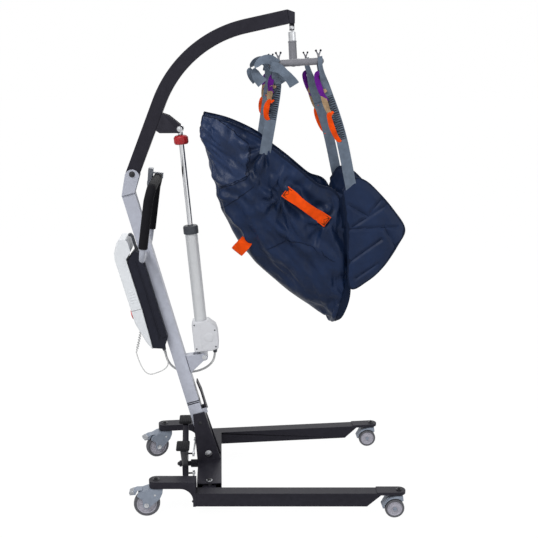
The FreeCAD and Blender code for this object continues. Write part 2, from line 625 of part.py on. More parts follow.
def make_controls():
    """The bracket behind the mast, the control unit and battery that hang on it, the battery's latch and the stop."""
    frame = mast_frame()
    back = plate("bracket_form", "XZ", [(-82, 500), (-41, 486), (-15, 524), (-15, 868), (-37, 892), (-71, 866),
                 (-76, 845), (-76, 660)], "bracket_wide")
    slot = sketch(back, "bracket_slot", "XZ", [(-25.3, 400), (20, 400), (20, 950), (-25.3, 950)])
    pocket(back, "bracket_slot_cut", slot, "mast_side + 0.6")
    hollow = sketch(back, "bracket_hollow", "XZ", [(-72, 520), (-48, 510), (-30, 530), (-30, 850), (-66, 850)])
    pocket(back, "bracket_hollow_cut", hollow, "bracket_wide - 8")
    node(back, "control_bracket", frame)

    unit = plate("unit_form", "XZ", [(-118, "box_seam - 1"), (-118, 616), (-99, 533), (-86, 503), (-82.4, 500),
                 (-76.4, 660), (-76.4, "box_seam - 1")], "box_wide")
    doc.recompute()
    soft = rounded("unit_round", unit, 6, lambda e: abs(e.CenterOfMass.x + 118) < 30 and e.CenterOfMass.x < -90
                   and abs(abs(e.CenterOfMass.y) - 65) < 0.1 and e.BoundBox.ZLength > 20)
    well = bar("stop_well", "x", -119, 0, "stop_high", 12.2, 14)
    node(cut("unit_cut", soft, well), "control_unit", frame)

    pack = plate("pack_form", "XZ", [(-118, "box_seam + 1"), (-76.4, "box_seam + 1"), (-76.4, 870), (-52, 893),
                 (-50, 930), (-56, 944), (-80, 950), (-94, 938), (-114, 902), (-118, 880)], "box_wide")
    soft = rounded("pack_round", pack, 6, lambda e: e.CenterOfMass.x < -85 and abs(abs(e.CenterOfMass.y) - 65) < 0.1
                   and e.BoundBox.ZLength > 15)
    node(soft, "battery_pack", frame)

    hook = plate("latch_hook_form", "XZ", [(-40, 893), (-32, 893), (-32, 940), (-38, 952), (-47, 953), (-49, 946),
                 (-41, 941), (-40, 934)], 24, [(-36, 899, 2.05)])
    node(hook, "battery_latch", frame)

    stop = fuse("stop_form",
                bar("stop_cap", "x", -130, 0, "stop_high", "stop_rad", 8),
                bar("stop_stem", "x", -122, 0, "stop_high", 12, 12))
    node(stop, "stop_button", frame)


# ---------------------------------------------------------------- actuator

def make_actuator():
    """The lifting actuator: motor housing and outer tube, the rod that slides in it, and the lowering collar."""
    frame = actuator_frame()
    housing = plate("housing_form", "XZ", [(-34, 26), (34, 26), (60, 34), (64, 60), (64, 104), (58, 128),
                    (30, 153), (-31, 153), (-36, 140), (-36, 34)], 62)
    soft = rounded("housing_round", housing, 8, lambda e: abs(abs(e.CenterOfMass.y) - 31) < 0.1)
    lug = bar("housing_lug", "y", 0, -13, 0, 14, 26)
    neck = box("housing_neck", -14, -13, 0, 28, 26, 30)
    node(cut("housing_cut", fuse("housing_fuse", soft, lug, neck),
             bar("housing_lug_hole", "y", 0, -14, 0, "mast_bolt_rad + fit_gap", 28)), "motor_housing", frame)

    bore = "rod_rad + fit_gap"
    tube = turned("act_tube_form", [
        ("rod_rad + 4", "act_tube_start"), ("act_tube_rad", "act_tube_start"), ("act_tube_rad", "act_tube_end"),
        ("act_tube_rad + 4", "act_tube_end"), ("act_tube_rad + 4", "act_cap_end - 4"),
        ("act_tube_rad", "act_cap_end"), (bore, "act_cap_end"), (bore, "act_tube_end"),
        ("rod_rad + 4", "act_tube_end")])
    node(tube, "actuator_tube", frame)

    reach = math.hypot(size("eye_fwd") - size("act_fwd"), size("eye_high") - size("act_high"))
    shank = bar("rod_shank", "z", 0, 0, "rod_start", "rod_rad", f"{reach - 10:.4f} - rod_start")
    eye = bar("rod_eye", "y", 0, -12, reach, "eye_rad", 24)
    bore = bar("rod_eye_bore", "y", 0, -13, reach, 6, 26)
    node(cut("rod_cut", fuse("rod_fuse", shank, eye), bore), "piston_rod", frame)

    collar = turned("collar_form", [("rod_rad + fit_gap", "collar_start"), ("collar_rad - 3", "collar_start"),
                    ("collar_rad", "collar_start + 4"), ("collar_rad", "collar_end - 6"),
                    ("collar_rad - 6", "collar_end"), ("rod_rad + fit_gap", "collar_end")])
    node(collar, "release_collar", frame)


# ---------------------------------------------------------------- boom

def boom_line(offset):
    """The boom's upper or lower edge, offset from its middle line: start, bend start, bend end and tip."""
    rise, turn = math.radians(size("boom_rise")), math.radians(size("boom_turn"))
    pivot = V(size("boom_pivot_fwd"), size("boom_pivot_high"), 0)
    along, up = V(math.cos(rise), math.sin(rise), 0), V(-math.sin(rise), math.cos(rise), 0)
    centre = pivot + along * size("boom_run") - up * size("boom_bend")
    late = rise - turn
    along_late, up_late = V(math.cos(late), math.sin(late), 0), V(-math.sin(late), math.cos(late), 0)
    reach = size("boom_bend") + offset
    bend_start = centre + up * reach
    bend_end = centre + up_late * reach
    return pivot + up * offset, bend_start, bend_end, bend_end + along_late * size("boom_nose")


def make_boom():
    """The bent boom tube, the bracket under it for the actuator, and the end block that carries the hanger."""
    half = size("boom_side") / 2
    body = new_body("boom_form")

    def outline(offset, start_in, tip_in):
        upper, lower = boom_line(offset), boom_line(-offset)
        along = (upper[1] - upper[0]).normalize()
        nose = (upper[3] - upper[2]).normalize()
        low_start, high_start = lower[0] + along * start_in, upper[0] + along * start_in
        low_tip, high_tip = lower[3] - nose * tip_in, upper[3] - nose * tip_in
        bend_low, bend_high = size("boom_bend") - offset, size("boom_bend") + offset
        corners = [(low_start.x, low_start.y), (lower[1].x, lower[1].y, -bend_low), (lower[2].x, lower[2].y),
                   (low_tip.x, low_tip.y), (high_tip.x, high_tip.y), (upper[2].x, upper[2].y, bend_high),
                   (upper[1].x, upper[1].y), (high_start.x, high_start.y)]
        if not start_in:
            corners[-1] = (high_start.x, high_start.y, half)
        return corners

    pivot = [("boom_pivot_fwd", "boom_pivot_high", "boom_pin_rad + fit_gap")]
    pad(body, "boom_pad", sketch(body, "boom_outline", "XZ", outline(half, 0, 0), pivot), "boom_side")
    wall = size("tube_wall")
    pocket(body, "boom_bore", sketch(body, "boom_hollow", "XZ", outline(half - wall, 40, wall)),
           "boom_side - 2 * tube_wall")
    node(body, "boom_tube", world())

    ears = plate("boom_ears", "XZ", [(-174.7, 1438.5), (-160, 1429), ("eye_fwd - 2", "eye_high - 15"),
                 ("eye_fwd + 15", "eye_high", 15), ("eye_fwd + 8", "eye_high + 12.7"), (-124, 1494),
                 (-148.7, 1502.5)], 50)
    gap = sketch(ears, "boom_ears_gap", "XZ", [(-200, 1400), (0, 1400), (0, 1520), (-200, 1520)])
    pocket(ears, "boom_ears_gap_cut", gap, 38)
    pins = []
    for side in (1, -1):
        start = 17 if side > 0 else -30
        pins.append(bar(f"boom_stub_{side}", "y", "eye_fwd", start, "eye_high", 7, 13))
    node(fuse("boom_ears_fuse", ears, *pins), "boom_bracket", world())

    tip = boom_line(-half)[3]
    tip_high = boom_line(half)[3]
    block = plate("end_block_form", "XZ", [(tip.x, tip.y), ("swivel_fwd + 10", tip.y), ("swivel_fwd + 10", 1862),
                  (tip_high.x, tip_high.y)], "boom_side")
    lugs = [box(f"end_lug_{side}", "swivel_fwd - 7.5", f"{side} * 11.5 - 3.5", "swivel_high - 9", 16.5, 7,
                f"{tip.y} + 4 - swivel_high + 9") for side in (1, -1)]
    pin = bar("end_pin", "y", "swivel_fwd", -17, "swivel_high", 5, 34)
    node(fuse("end_block_fuse", block, *lugs, pin), "boom_end_block", world())


# ---------------------------------------------------------------- hanger

def make_hanger():
    """The swivel that hangs from the boom's end and the four-point spreader that turns on it."""
    frame = hanger_frame()
    eye = bar("swivel_eye", "y", 0, -7.5, 0, 9, 15)
    sleeve = bar("swivel_sleeve", "z", 0, 0, -46, 14, 32)
    neck = box("swivel_neck", -6, -7.5, -16, 12, 15, 14)
    stem = bar("swivel_stem", "z", 0, 0, -92, 8, 50)
    bore = bar("swivel_eye_bore", "y", 0, -8, 0, 5.05, 16)
    node(cut("swivel_cut", fuse("swivel_fuse", eye, neck, sleeve, stem), bore), "hanger_swivel", frame)

    post = bar("spreader_post", "z", 0, 0, -112, 15, 65)
    bore = bar("spreader_bore", "z", 0, 0, -93, "8 + fit_gap", 50)
    cross = bar("spreader_cross", "y", 0, "-spread_half", "-spread_low", "spread_rad + 1", "2 * spread_half")
    parts = [post, cross]
    for side in (1, -1):
        out = f"{side} * spread_half"
        parts.append(bar(f"spreader_arm_{side}", "x", "-hook_fwd", out, "-spread_low", "spread_rad", "2 * hook_fwd"))
        for end in (1, -1):
            name = f"hook_{side}_{end}"
            mid = f"{end} * (hook_fwd - 6)"
            low, high = "-spread_low + 8", "-spread_low + hook_rise"
            prongs = [(f"{mid} - 4", low), (f"{mid} + 4", low), (f"{mid} + 4", f"{low} + 12"),
                      (f"{mid} + 10", f"{high} - 3"), (f"{mid} + 7", f"{high} - 1"), (mid, f"{low} + 17"),
                      (f"{mid} - 7", f"{high} - 1"), (f"{mid} - 10", f"{high} - 3"), (f"{mid} - 4", f"{low} + 12")]
            parts.append(plate(name, "XZ", prongs, 5, (), f"{-side} * spread_half"))
            for lean in (1, -1):
                parts.append(ball(f"{name}_tip_{lean + 1}", f"{mid} + {lean} * 8.5", out, f"{high} - 2", 3))
            parts.append(ball(name + "_end", f"{end} * hook_fwd", out, "-spread_low", "spread_rad"))
    node(cut("spreader_cut", fuse("spreader_fuse", *parts), bore), "spreader_bar", frame)


# ---------------------------------------------------------------- sling

# The sling's stations from the head end down to the seat: forward and up of the lowest line, forward and up of the
# open edge, and half the width there.
SLING = [
    (-8, 1440, 4, 1500, 112), (4, 1345, 100, 1474, 140), (43, 1190, 205, 1424, 160), (102, 1062, 262, 1378, 168),
    (187, 955, 330, 1326, 172), (305, 838, 412, 1258, 172), (432, 742, 500, 1196, 168), (492, 692, 540, 905, 150),
]
SLING_SKIN = 9.0
SLING_HALF_SECTION = [(1.0, 1.0), (0.99, 0.66), (0.93, 0.38), (0.74, 0.15), (0.4, 0.03)]


def sling_section(low_fwd, low_high, top_fwd, top_high, half):
    """One U-shaped section of the sling's wall: down the outside, across the bottom and back up the inside."""
    low, top = V(low_fwd, 0, low_high), V(top_fwd, 0, top_high)
    rise = top - low
    skin = SLING_SKIN / rise.Length
    thin = 1 - SLING_SKIN / half
    outer = [low + rise * u + Y_AXIS * (-half * w) for w, u in SLING_HALF_SECTION]
    outer += [low] + [V(p.x, -p.y, p.z) for p in reversed(outer)]
    inner = [low + rise * (skin + u * (1 - skin)) + Y_AXIS * (half * w * thin) for w, u in SLING_HALF_SECTION]
    inner += [low + rise * skin] + [V(p.x, -p.y, p.z) for p in reversed(inner)]
    return Part.makePolygon(outer + inner + [outer[0]])


def make_sling():
    """The sling's trough, its two leg flaps and the four lifting straps, as plain closed forms."""
    trough = Part.makeLoft([sling_section(*station) for station in SLING], True, True)
    node(set_shape("sling_trough", trough), "sling_body", world())

    flaps = []
    for side in (1, -1):
        flap = plate(f"flap_{side}", "XZ", [(506, 1232), (540, 1278), (588, 1268), (640, 1222), (694, 1160),
                     (738, 1090), (712, 1028), (662, 946), (606, 893), (540, 868), (528, 1000), (520, 1130)], 12, (),
                     f"{-side} * 186")
        flaps.append(flap)
    pair = doc.addObject("Part::Compound", "flap_pair")
    pair.Links = flaps
    node(pair, "sling_leg_flaps", world())

    straps = []
    for side in (1, -1):
        for top, low, wide in (((270, 214, 1664), (228, 167, 1388), 40),
                               ((416, 214, 1674), (533, 193, 1262), 40)):
            upper, lower = V(top[0], side * top[1], top[2]), V(low[0], side * low[1], low[2])
            across = V(wide / 2, 0, 0)
            edge = Part.makePolygon([upper - across, upper + across, lower + across, lower - across,
                                     upper - across])
            thick = (upper - lower).cross(across).normalize() * 3 * side
            straps.append(Part.Face(edge).extrude(thick))
    node(set_shape("strap_set", Part.makeCompound(straps)), "sling_straps", world())


# ---------------------------------------------------------------- handset and cords

HANDSET_OUT = 110.0
HANDSET_LEAN = 5.6


def handset_frame():
    """The handset's frame: z along it, with the grip's top bar level with its origin and just ahead of it."""
    turn = FreeCAD.Rotation(Y_AXIS, HANDSET_LEAN)
    clear = size("grip_foam_rad") + 9.8
    back = turn.multVec(V(-clear, 0, 0))
    return world() * FreeCAD.Placement(V(-184, HANDSET_OUT, 1245) + back, turn)


def make_handset():
    frame = handset_frame()
    shell = box("handset_block", -9, -24, -118, 18, 48, 156)
    soft = rounded("handset_round", shell, 7, lambda e: abs(abs(e.CenterOfMass.y) - 24) < 0.1
                   and abs(e.CenterOfMass.x) < 0.1)
    hook = plate("handset_hook", "XZ", [(4, 18.2), (44.8, 18.2), (44.8, 4), (49, 2), (49, 23), (4, 23)], 20)
    boot = bar("handset_boot", "z", 0, 0, -134, 5, 20)
    wells = [bar(f"handset_well_{word}", "x", -10, 0, high, 8.3, 5) for word, high in (("up", -22), ("down", -52))]
    body = fuse("handset_fuse", soft, hook, boot)
    node(cut("handset_cut", body, *wells), "handset", frame)
    for word, high in (("up", -22), ("down", -52)):
        cap = bar(f"button_{word}_cap", "x", -11.5, 0, high, 8, 3.5)
        base = bar(f"button_{word}_base", "x", -8, 0, high, 5, 1)
        node(fuse(f"button_{word}", cap, base), f"handset_button_{word}", frame)


ACTUATOR_CABLE = [(32.5, 12, 565.6), (31, 13, 533), (12, 20, 500), (-25, 32, 474), (-70, 42, 462), (-112, 38, 470),
                  (-145, 26, 497), (-162, 16, 532), (-166, 14, 563), (-172.5, 14, 587)]
HANDSET_LEAD = [(-172.5, -14, 587), (-166.3, -14, 563), (-156, -12, 537), (-154, -7, 511), (-172, 1, 490),
                (-200, 11, 475), (-228, 23, 461), (-251, 38, 466), (-267, 50, 489), (-279, 59, 514), (-288, 66, 540)]
HANDSET_COIL = [(-287.5, 66.5, 542), (-281, 74, 567), (-273, 85, 602), (-266, 94, 645), (-262, 100, 705),
                (-265, 105, 780), (-263, 108, 860), (-259, 109, 940), (-255, 110, 1010), (-244, 110, 1066),
                (-224.8, 110, 1113)]
CORDS = (("actuator_cable", ACTUATOR_CABLE, 4.75), ("handset_lead", HANDSET_LEAD, 2.5),
         ("handset_coil", HANDSET_COIL, 6.5))


def make_cords():
    """The actuator's cable, and the handset's lead with its curly stretch drawn as one fat tube."""
    for name, route, radius in CORDS:
        points = [V(*point) for point in route]
        radii = cord_radii(points)
        wire = bent_wire(points, radii)
        tube = swept(points, wire, radius)
        expected = math.pi * radius ** 2 * wire.Length
        print(name, "length", round(wire.Length, 1), "radii", [round(r) for r in radii],
              "volume over section times length", round(tube.Volume / expected, 4))
        node(set_shape(name + "_tube", tube), name, world())


# ---------------------------------------------------------------- the whole hoist

def main():
    make_base()
    make_pedals()
    for side, word in ((1, "left"), (-1, "right")):
        make_tie_rod(side, word)
        make_leg(side, word)
        make_rear_castor(side, f"{word}_rear", 25 if side > 0 else 0)
        make_front_castor(side, f"{word}_front", 0)
    make_mast()
    make_push_handle()
    make_controls()
    make_actuator()
    make_boom()
    make_hanger()
    make_sling()
    make_handset()
    make_cords()
    doc.recompute()

    for item in doc.Objects:
        if "Invalid" in item.State or "Error" in item.State:
            raise RuntimeError(f"{item.Name} did not compute: {item.State}")
    labels = [item.Label for item in NODES]
    if len(set(labels)) != len(labels) or len(labels) > 60:
        raise RuntimeError(f"{len(labels)} nodes, or a name used twice")
    os.makedirs("parts", exist_ok=True)
    for item in NODES:
        if item.Shape.isNull() or not item.Shape.isValid() or not item.Shape.Solids:
            raise RuntimeError(f"{item.Label} has no sound solid")
        item.Shape.exportStep(f"parts/{item.Label}.step")
    print(len(NODES), "nodes written")


main()
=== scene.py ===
"""Patient lift hoist: the finished look of every piece, laid out as a Blender add-on and run as a script."""

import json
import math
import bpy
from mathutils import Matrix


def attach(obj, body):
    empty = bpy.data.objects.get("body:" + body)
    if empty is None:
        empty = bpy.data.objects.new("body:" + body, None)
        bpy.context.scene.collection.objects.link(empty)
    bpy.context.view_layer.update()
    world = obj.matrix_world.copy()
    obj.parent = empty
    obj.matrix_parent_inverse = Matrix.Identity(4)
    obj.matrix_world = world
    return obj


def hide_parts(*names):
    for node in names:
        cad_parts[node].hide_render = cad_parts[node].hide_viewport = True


bl_info = {
    "name": "Patient Lift Hoist",
    "version": (1, 0, 0),
    "blender": (4, 5, 0),
    "location": "3D View > Sidebar > Hoist",
    "description": "Builds the hoist's frame, castors, actuator, controls, sling and webbing on its CAD frame",
    "category": "Object",
}

import bmesh
import bpy
from bpy.props import FloatProperty, FloatVectorProperty, IntProperty, PointerProperty
from mathutils import Matrix, Vector, noise
from mathutils.bvhtree import BVHTree

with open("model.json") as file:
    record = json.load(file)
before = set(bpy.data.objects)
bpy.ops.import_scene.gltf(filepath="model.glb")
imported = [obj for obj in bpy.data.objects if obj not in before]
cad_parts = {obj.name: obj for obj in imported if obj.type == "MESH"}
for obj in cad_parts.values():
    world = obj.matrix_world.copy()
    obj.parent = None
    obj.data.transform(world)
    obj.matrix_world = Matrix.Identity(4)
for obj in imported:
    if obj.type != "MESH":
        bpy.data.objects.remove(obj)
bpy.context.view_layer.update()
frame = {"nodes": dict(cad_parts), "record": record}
NODES = frame["nodes"]

MM = 0.001
FRONT_SHIFT = 203.7
LEG_PIVOT = (5, 215)
LEG_SPLAY = 3.2
LEG_OUT = 56.1
FRONT_STEM = 725.3
REAR_STEM = -198.2
LEFT_REAR_HEADING = 25
SIDE = Vector((0, 1, 0))


def at(x, y, z):
    """A place given in millimetres from the mast's foot bolt, in metres in the hoist's own frame."""
    return Vector(((x - FRONT_SHIFT) * MM, y * MM, z * MM))


def placed(origin, turn_y=0.0, turn_z=0.0):
    """The matrix of a local frame in millimetres, turned about Y and then about Z, at a place."""
    turn = Matrix.Rotation(math.radians(turn_z), 4, "Z") @ Matrix.Rotation(math.radians(turn_y), 4, "Y")
    return Matrix.Translation(at(*origin)) @ turn @ Matrix.Scale(MM, 4)


def leg_place(side):
    """The frame of a leg: forward from its pivot, and splayed outwards."""
    return placed((LEG_PIVOT[0], side * LEG_PIVOT[1], 0), 0, side * LEG_SPLAY)


MAST = placed((0, 0, 138), -15)
HANGER = placed((331, 0, 1808), -3.4)
HANDSET = placed((-184, 110, 1245), 5.6) @ Matrix.Translation((-26.8, 0, 0))
ACTUATOR = placed((-10, 0, 546), -math.degrees(math.atan2(76, 898)))


# ---------------------------------------------------------------- settings

class HoistSizes(bpy.types.PropertyGroup):
    """Sizes that change the finish but not the frame."""
    edge: FloatProperty(name="Edge radius", description="Softening of cut metal and moulded edges", default=1.1 * MM,
                        subtype="DISTANCE", unit="LENGTH")
    tube_corner: FloatProperty(name="Tube corner", description="Corner radius of the square tubes", default=3.2 * MM,
                               subtype="DISTANCE", unit="LENGTH")
    strap_width: FloatProperty(name="Strap width", description="Width of the sling's grey straps", default=40 * MM,
                               subtype="DISTANCE", unit="LENGTH")
    webbing: FloatProperty(name="Webbing thickness", description="Thickness of a layer of webbing", default=2.2 * MM,
                           subtype="DISTANCE", unit="LENGTH")
    cloth: FloatProperty(name="Cloth thickness", description="Thickness of the sling's cloth", default=2.6 * MM,
                         subtype="DISTANCE", unit="LENGTH")
    coil_turns: IntProperty(name="Coil turns", description="Turns in the handset's curly lead", default=58, min=10)
    slack: FloatProperty(name="Cloth slack", description="Spare cloth that rumples between the seams", default=0.05,
                         min=0.0, max=0.2)


def colour(name, words, value):
    return FloatVectorProperty(name=name, description=words, subtype="COLOR", size=3, min=0, max=1, default=value)


class HoistColours(bpy.types.PropertyGroup):
    """Colours of the hoist's finishes, in linear light."""
    mast: colour("Mast", "Powder coat of the mast and push handle", (0.40, 0.415, 0.475))
    charcoal: colour("Charcoal", "Powder coat of the boom and base", (0.019, 0.018, 0.025))
    hanger: colour("Hanger", "Powder coat of the spreader bar", (0.17, 0.17, 0.19))
    navy: colour("Sling", "Nylon of the sling", (0.0058, 0.0150, 0.046))
    grey_strap: colour("Straps", "Grey webbing", (0.125, 0.155, 0.20))
    orange: colour("Orange", "Webbing of the handles and long loops", (0.76, 0.066, 0.0015))
    purple: colour("Purple", "Webbing of the short loops", (0.12, 0.010, 0.22))
    beige: colour("Beige", "Webbing of the middle loops", (0.36, 0.24, 0.14))
    white: colour("White plastic", "Control unit and battery", (0.72, 0.74, 0.76))
    castor: colour("Castor", "Castor housings", (0.235, 0.27, 0.33))


# ---------------------------------------------------------------- finishes

def finish(name, base, rough, metallic=0.0, spread=0.06, scale=60.0, grain=0.15, grain_scale=900.0, coat=0.0,
           sheen=0.0, ribs=None, wear=0.0, gloss=0.5):
    """A layered procedural finish: cloudy colour, varied roughness, fine grain, and ribs or wear where asked."""
    found = bpy.data.materials.get(name)
    if found:
        return found
    mat = bpy.data.materials.new(name)
    mat.use_nodes = True
    tree = mat.node_tree
    nodes, link = tree.nodes, tree.links.new
    shader = nodes["Principled BSDF"]
    shader.inputs["Metallic"].default_value = metallic
    shader.inputs["Specular IOR Level"].default_value = gloss
    shader.inputs["Coat Weight"].default_value = coat
    shader.inputs["Coat Roughness"].default_value = 0.25
    if sheen:
        shader.inputs["Sheen Weight"].default_value = sheen
        shader.inputs["Sheen Roughness"].default_value = 0.45
        shader.inputs["Sheen Tint"].default_value = (0.45, 0.55, 0.85, 1)
    place = nodes.new("ShaderNodeTexCoord")
    clouds = nodes.new("ShaderNodeTexNoise")
    clouds.inputs["Scale"].default_value = scale
    clouds.inputs["Detail"].default_value = 5
    link(place.outputs["Object"], clouds.inputs["Vector"])
    ramp = nodes.new("ShaderNodeValToRGB")
    ramp.color_ramp.elements[0].position = 0.3
    ramp.color_ramp.elements[1].position = 0.7
    ramp.color_ramp.elements[0].color = (*[c * (1 - spread) for c in base], 1)
    ramp.color_ramp.elements[1].color = (*[min(1.0, c * (1 + spread)) for c in base], 1)
    link(clouds.outputs["Fac"], ramp.inputs["Fac"])
    tint = ramp.outputs["Color"]
    if wear:
        edges = nodes.new("ShaderNodeNewGeometry")
        mask = nodes.new("ShaderNodeMapRange")
        mask.inputs["From Min"].default_value = 0.53
        mask.inputs["From Max"].default_value = 0.66
        link(edges.outputs["Pointiness"], mask.inputs["Value"])
        rub = nodes.new("ShaderNodeMath")
        rub.operation = "MULTIPLY"
        link(mask.outputs["Result"], rub.inputs[0])
        link(clouds.outputs["Fac"], rub.inputs[1])
        worn = nodes.new("ShaderNodeMix")
        worn.data_type = "RGBA"
        worn.inputs["B"].default_value = (*[min(1.0, c * (1 + wear) + 0.02 * wear) for c in base], 1)
        link(rub.outputs["Value"], worn.inputs["Factor"])
        link(tint, worn.inputs["A"])
        tint = worn.outputs["Result"]
    link(tint, shader.inputs["Base Color"])
    matt = nodes.new("ShaderNodeMapRange")
    matt.inputs["To Min"].default_value = max(0.02, rough - 0.07)
    matt.inputs["To Max"].default_value = min(1.0, rough + 0.07)
    link(clouds.outputs["Fac"], matt.inputs["Value"])
    link(matt.outputs["Result"], shader.inputs["Roughness"])
    fine = nodes.new("ShaderNodeTexNoise")
    fine.inputs["Scale"].default_value = grain_scale
    fine.inputs["Detail"].default_value = 2
    link(place.outputs["Object"], fine.inputs["Vector"])
    height = fine.outputs["Fac"]
    if ribs:
        spacing, axis = ribs
        along = nodes.new("ShaderNodeTexWave")
        along.bands_direction = axis
        along.inputs["Scale"].default_value = 1.0 / spacing
        along.inputs["Distortion"].default_value = 0.4
        link(place.outputs["UV"], along.inputs["Vector"])
        across = nodes.new("ShaderNodeTexWave")
        across.bands_direction = "Y" if axis == "X" else "X"
        across.inputs["Scale"].default_value = 1.0 / spacing
        link(place.outputs["UV"], across.inputs["Vector"])
        both = nodes.new("ShaderNodeMath")
        both.operation = "MAXIMUM"
        link(along.outputs["Fac"], both.inputs[0])
        link(across.outputs["Fac"], both.inputs[1])
        mixed = nodes.new("ShaderNodeMath")
        mixed.operation = "ADD"
        link(both.outputs["Value"], mixed.inputs[0])
        link(fine.outputs["Fac"], mixed.inputs[1])
        height = mixed.outputs["Value"]
    bump = nodes.new("ShaderNodeBump")
    bump.inputs["Strength"].default_value = grain
    bump.inputs["Distance"].default_value = 0.0006
    link(height, bump.inputs["Height"])
    link(bump.outputs["Normal"], shader.inputs["Normal"])
    return mat


def coloured(name):
    return tuple(getattr(bpy.context.scene.hoist_colours, name))


def mast_paint():
    return finish("mast_powder_coat", coloured("mast"), 0.38, spread=0.03, grain=0.1, grain_scale=1400, wear=0.5,
                  gloss=0.35)


def charcoal_paint():
    return finish("charcoal_powder_coat", coloured("charcoal"), 0.42, spread=0.10, grain=0.2, grain_scale=1300,
                  wear=1.2, gloss=0.1)


def hanger_paint():
    return finish("hanger_powder_coat", coloured("hanger"), 0.4, spread=0.05, grain=0.15, grain_scale=1300, wear=0.6)


def zinc():
    return finish("zinc_plate", (0.52, 0.53, 0.55), 0.32, metallic=1.0, spread=0.08, scale=120, grain=0.06)


def chrome():
    return finish("rod_chrome", (0.62, 0.63, 0.65), 0.12, metallic=1.0, spread=0.02, scale=30, grain=0.02)


def white_plastic():
    return finish("white_moulding", coloured("white"), 0.42, spread=0.02, grain=0.12, grain_scale=1600)


def black_plastic():
    return finish("black_moulding", (0.012, 0.013, 0.022), 0.45, spread=0.12, grain=0.25, grain_scale=1500,
                  gloss=0.16)


def dark_grey_plastic():
    return finish("dark_grey_moulding", (0.055, 0.06, 0.07), 0.5, spread=0.08, grain=0.2, grain_scale=1500,
                  gloss=0.25)


def castor_plastic():
    return finish("castor_moulding", coloured("castor"), 0.48, spread=0.06, grain=0.2, grain_scale=1400, wear=0.4)


def hub_plastic():
    return finish("castor_hub_moulding", (0.40, 0.39, 0.44), 0.45, spread=0.05, grain=0.15, grain_scale=1400)


def tyre_rubber():
    return finish("tyre_rubber", (0.10, 0.10, 0.112), 0.62, spread=0.14, scale=90, grain=0.12,
                  grain_scale=800, gloss=0.3)


def foot_rubber():
    return finish("pedal_rubber", (0.012, 0.012, 0.014), 0.7, spread=0.2, grain=0.12, grain_scale=800, gloss=0.15)


def foam():
    return finish("handle_foam", (0.007, 0.007, 0.009), 0.8, spread=0.25, scale=240, grain=0.14, grain_scale=800,
                  gloss=0.12)


def red_plastic():
    return finish("red_moulding", (0.55, 0.012, 0.012), 0.3, spread=0.04, grain=0.06, coat=0.3)


def collar_red():
    return finish("collar_red_moulding", (0.38, 0.010, 0.016), 0.42, spread=0.08, grain=0.15)


def cable_rubber():
    return finish("cable_jacket", (0.60, 0.60, 0.59), 0.5, spread=0.05, grain=0.15)


def nylon():
    return finish("sling_nylon", coloured("navy"), 0.46, spread=0.3, scale=9, grain=0.12, grain_scale=1500,
                  sheen=0.03, ribs=(0.0022, "X"), gloss=0.17)


def binding_nylon():
    return finish("binding_nylon", tuple(c * 0.55 for c in coloured("navy")), 0.6, spread=0.15, grain=0.4,
                  grain_scale=1500, gloss=0.12)


def webbing(name, base):
    return finish("webbing_" + name, base, 0.6, spread=0.16, scale=45, grain=0.2, grain_scale=1200,
                  ribs=(0.0042, "X"), gloss=0.1)


def black_steel():
    return finish("black_steel", (0.028, 0.028, 0.032), 0.34, metallic=0.6, spread=0.1, grain=0.06, wear=1.0)


def thread(name, base):
    return finish("thread_" + name, base, 0.7, spread=0.1, grain=0.1, gloss=0.04)


# ---------------------------------------------------------------- making pieces

def piece(name, shape, body, mats, sharp=35.0, replaces=()):
    """Turns a bmesh into a finished object that rides on a body."""
    mesh = bpy.data.meshes.new(name)
    shape.to_mesh(mesh)
    shape.free()
    for face in mesh.polygons:
        face.use_smooth = True
    mesh.set_sharp_from_angle(angle=math.radians(sharp))
    for mat in mats if isinstance(mats, (list, tuple)) else [mats]:
        mesh.materials.append(mat)
    item = bpy.data.objects.new(name, mesh)
    bpy.context.scene.collection.objects.link(item)
    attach(item, body)
    if replaces:
        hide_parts(*replaces)
    return item


def body_of_node(node):
    for body, names in frame["record"]["behaviour"]["bodies"].items():
        if node in names:
            return body
    raise ValueError(node)


def dress(node, mat, width=None, segments=2, angle=38.0):
    """A copy of a CAD node with its corners merged and its edges softened, standing for the node."""
    shape = bmesh.new()
    shape.from_mesh(NODES[node].data)
    bmesh.ops.remove_doubles(shape, verts=shape.verts[:], dist=2e-6)
    bmesh.ops.dissolve_limit(shape, angle_limit=math.radians(0.4), verts=shape.verts[:], edges=shape.edges[:])
    item = piece(node + "_finish", shape, body_of_node(node), mat, sharp=angle, replaces=(node,))
    width = bpy.context.scene.hoist_sizes.edge if width is None else width
    if width:
        soft = item.modifiers.new("soft_edges", "BEVEL")
        soft.width = width
        soft.segments = segments
        soft.limit_method = "ANGLE"
        soft.angle_limit = math.radians(angle)
        soft.use_clamp_overlap = True
        soft.harden_normals = True
    return item


def moved(shape, verts, matrix):
    bmesh.ops.transform(shape, matrix=matrix, verts=verts)
    return verts


def add_block(shape, matrix, centre, size, bevel=0.0, segments=2):
    """A block with broken edges, in the local millimetres of matrix."""
    made = bmesh.ops.create_cube(shape, size=1.0)["verts"]
    bmesh.ops.scale(shape, vec=size, verts=made)
    bmesh.ops.translate(shape, vec=centre, verts=made)
    if bevel:
        edges = list({e for v in made for e in v.link_edges})
        cut = bmesh.ops.bevel(shape, geom=edges, offset=bevel, offset_type="OFFSET", segments=segments, profile=0.5,
                              affect="EDGES", material=-1, clamp_overlap=True)
        made = list({v for f in cut["faces"] for v in f.verts} | {v for v in made if v.is_valid})
    moved(shape, made, matrix)
    return made


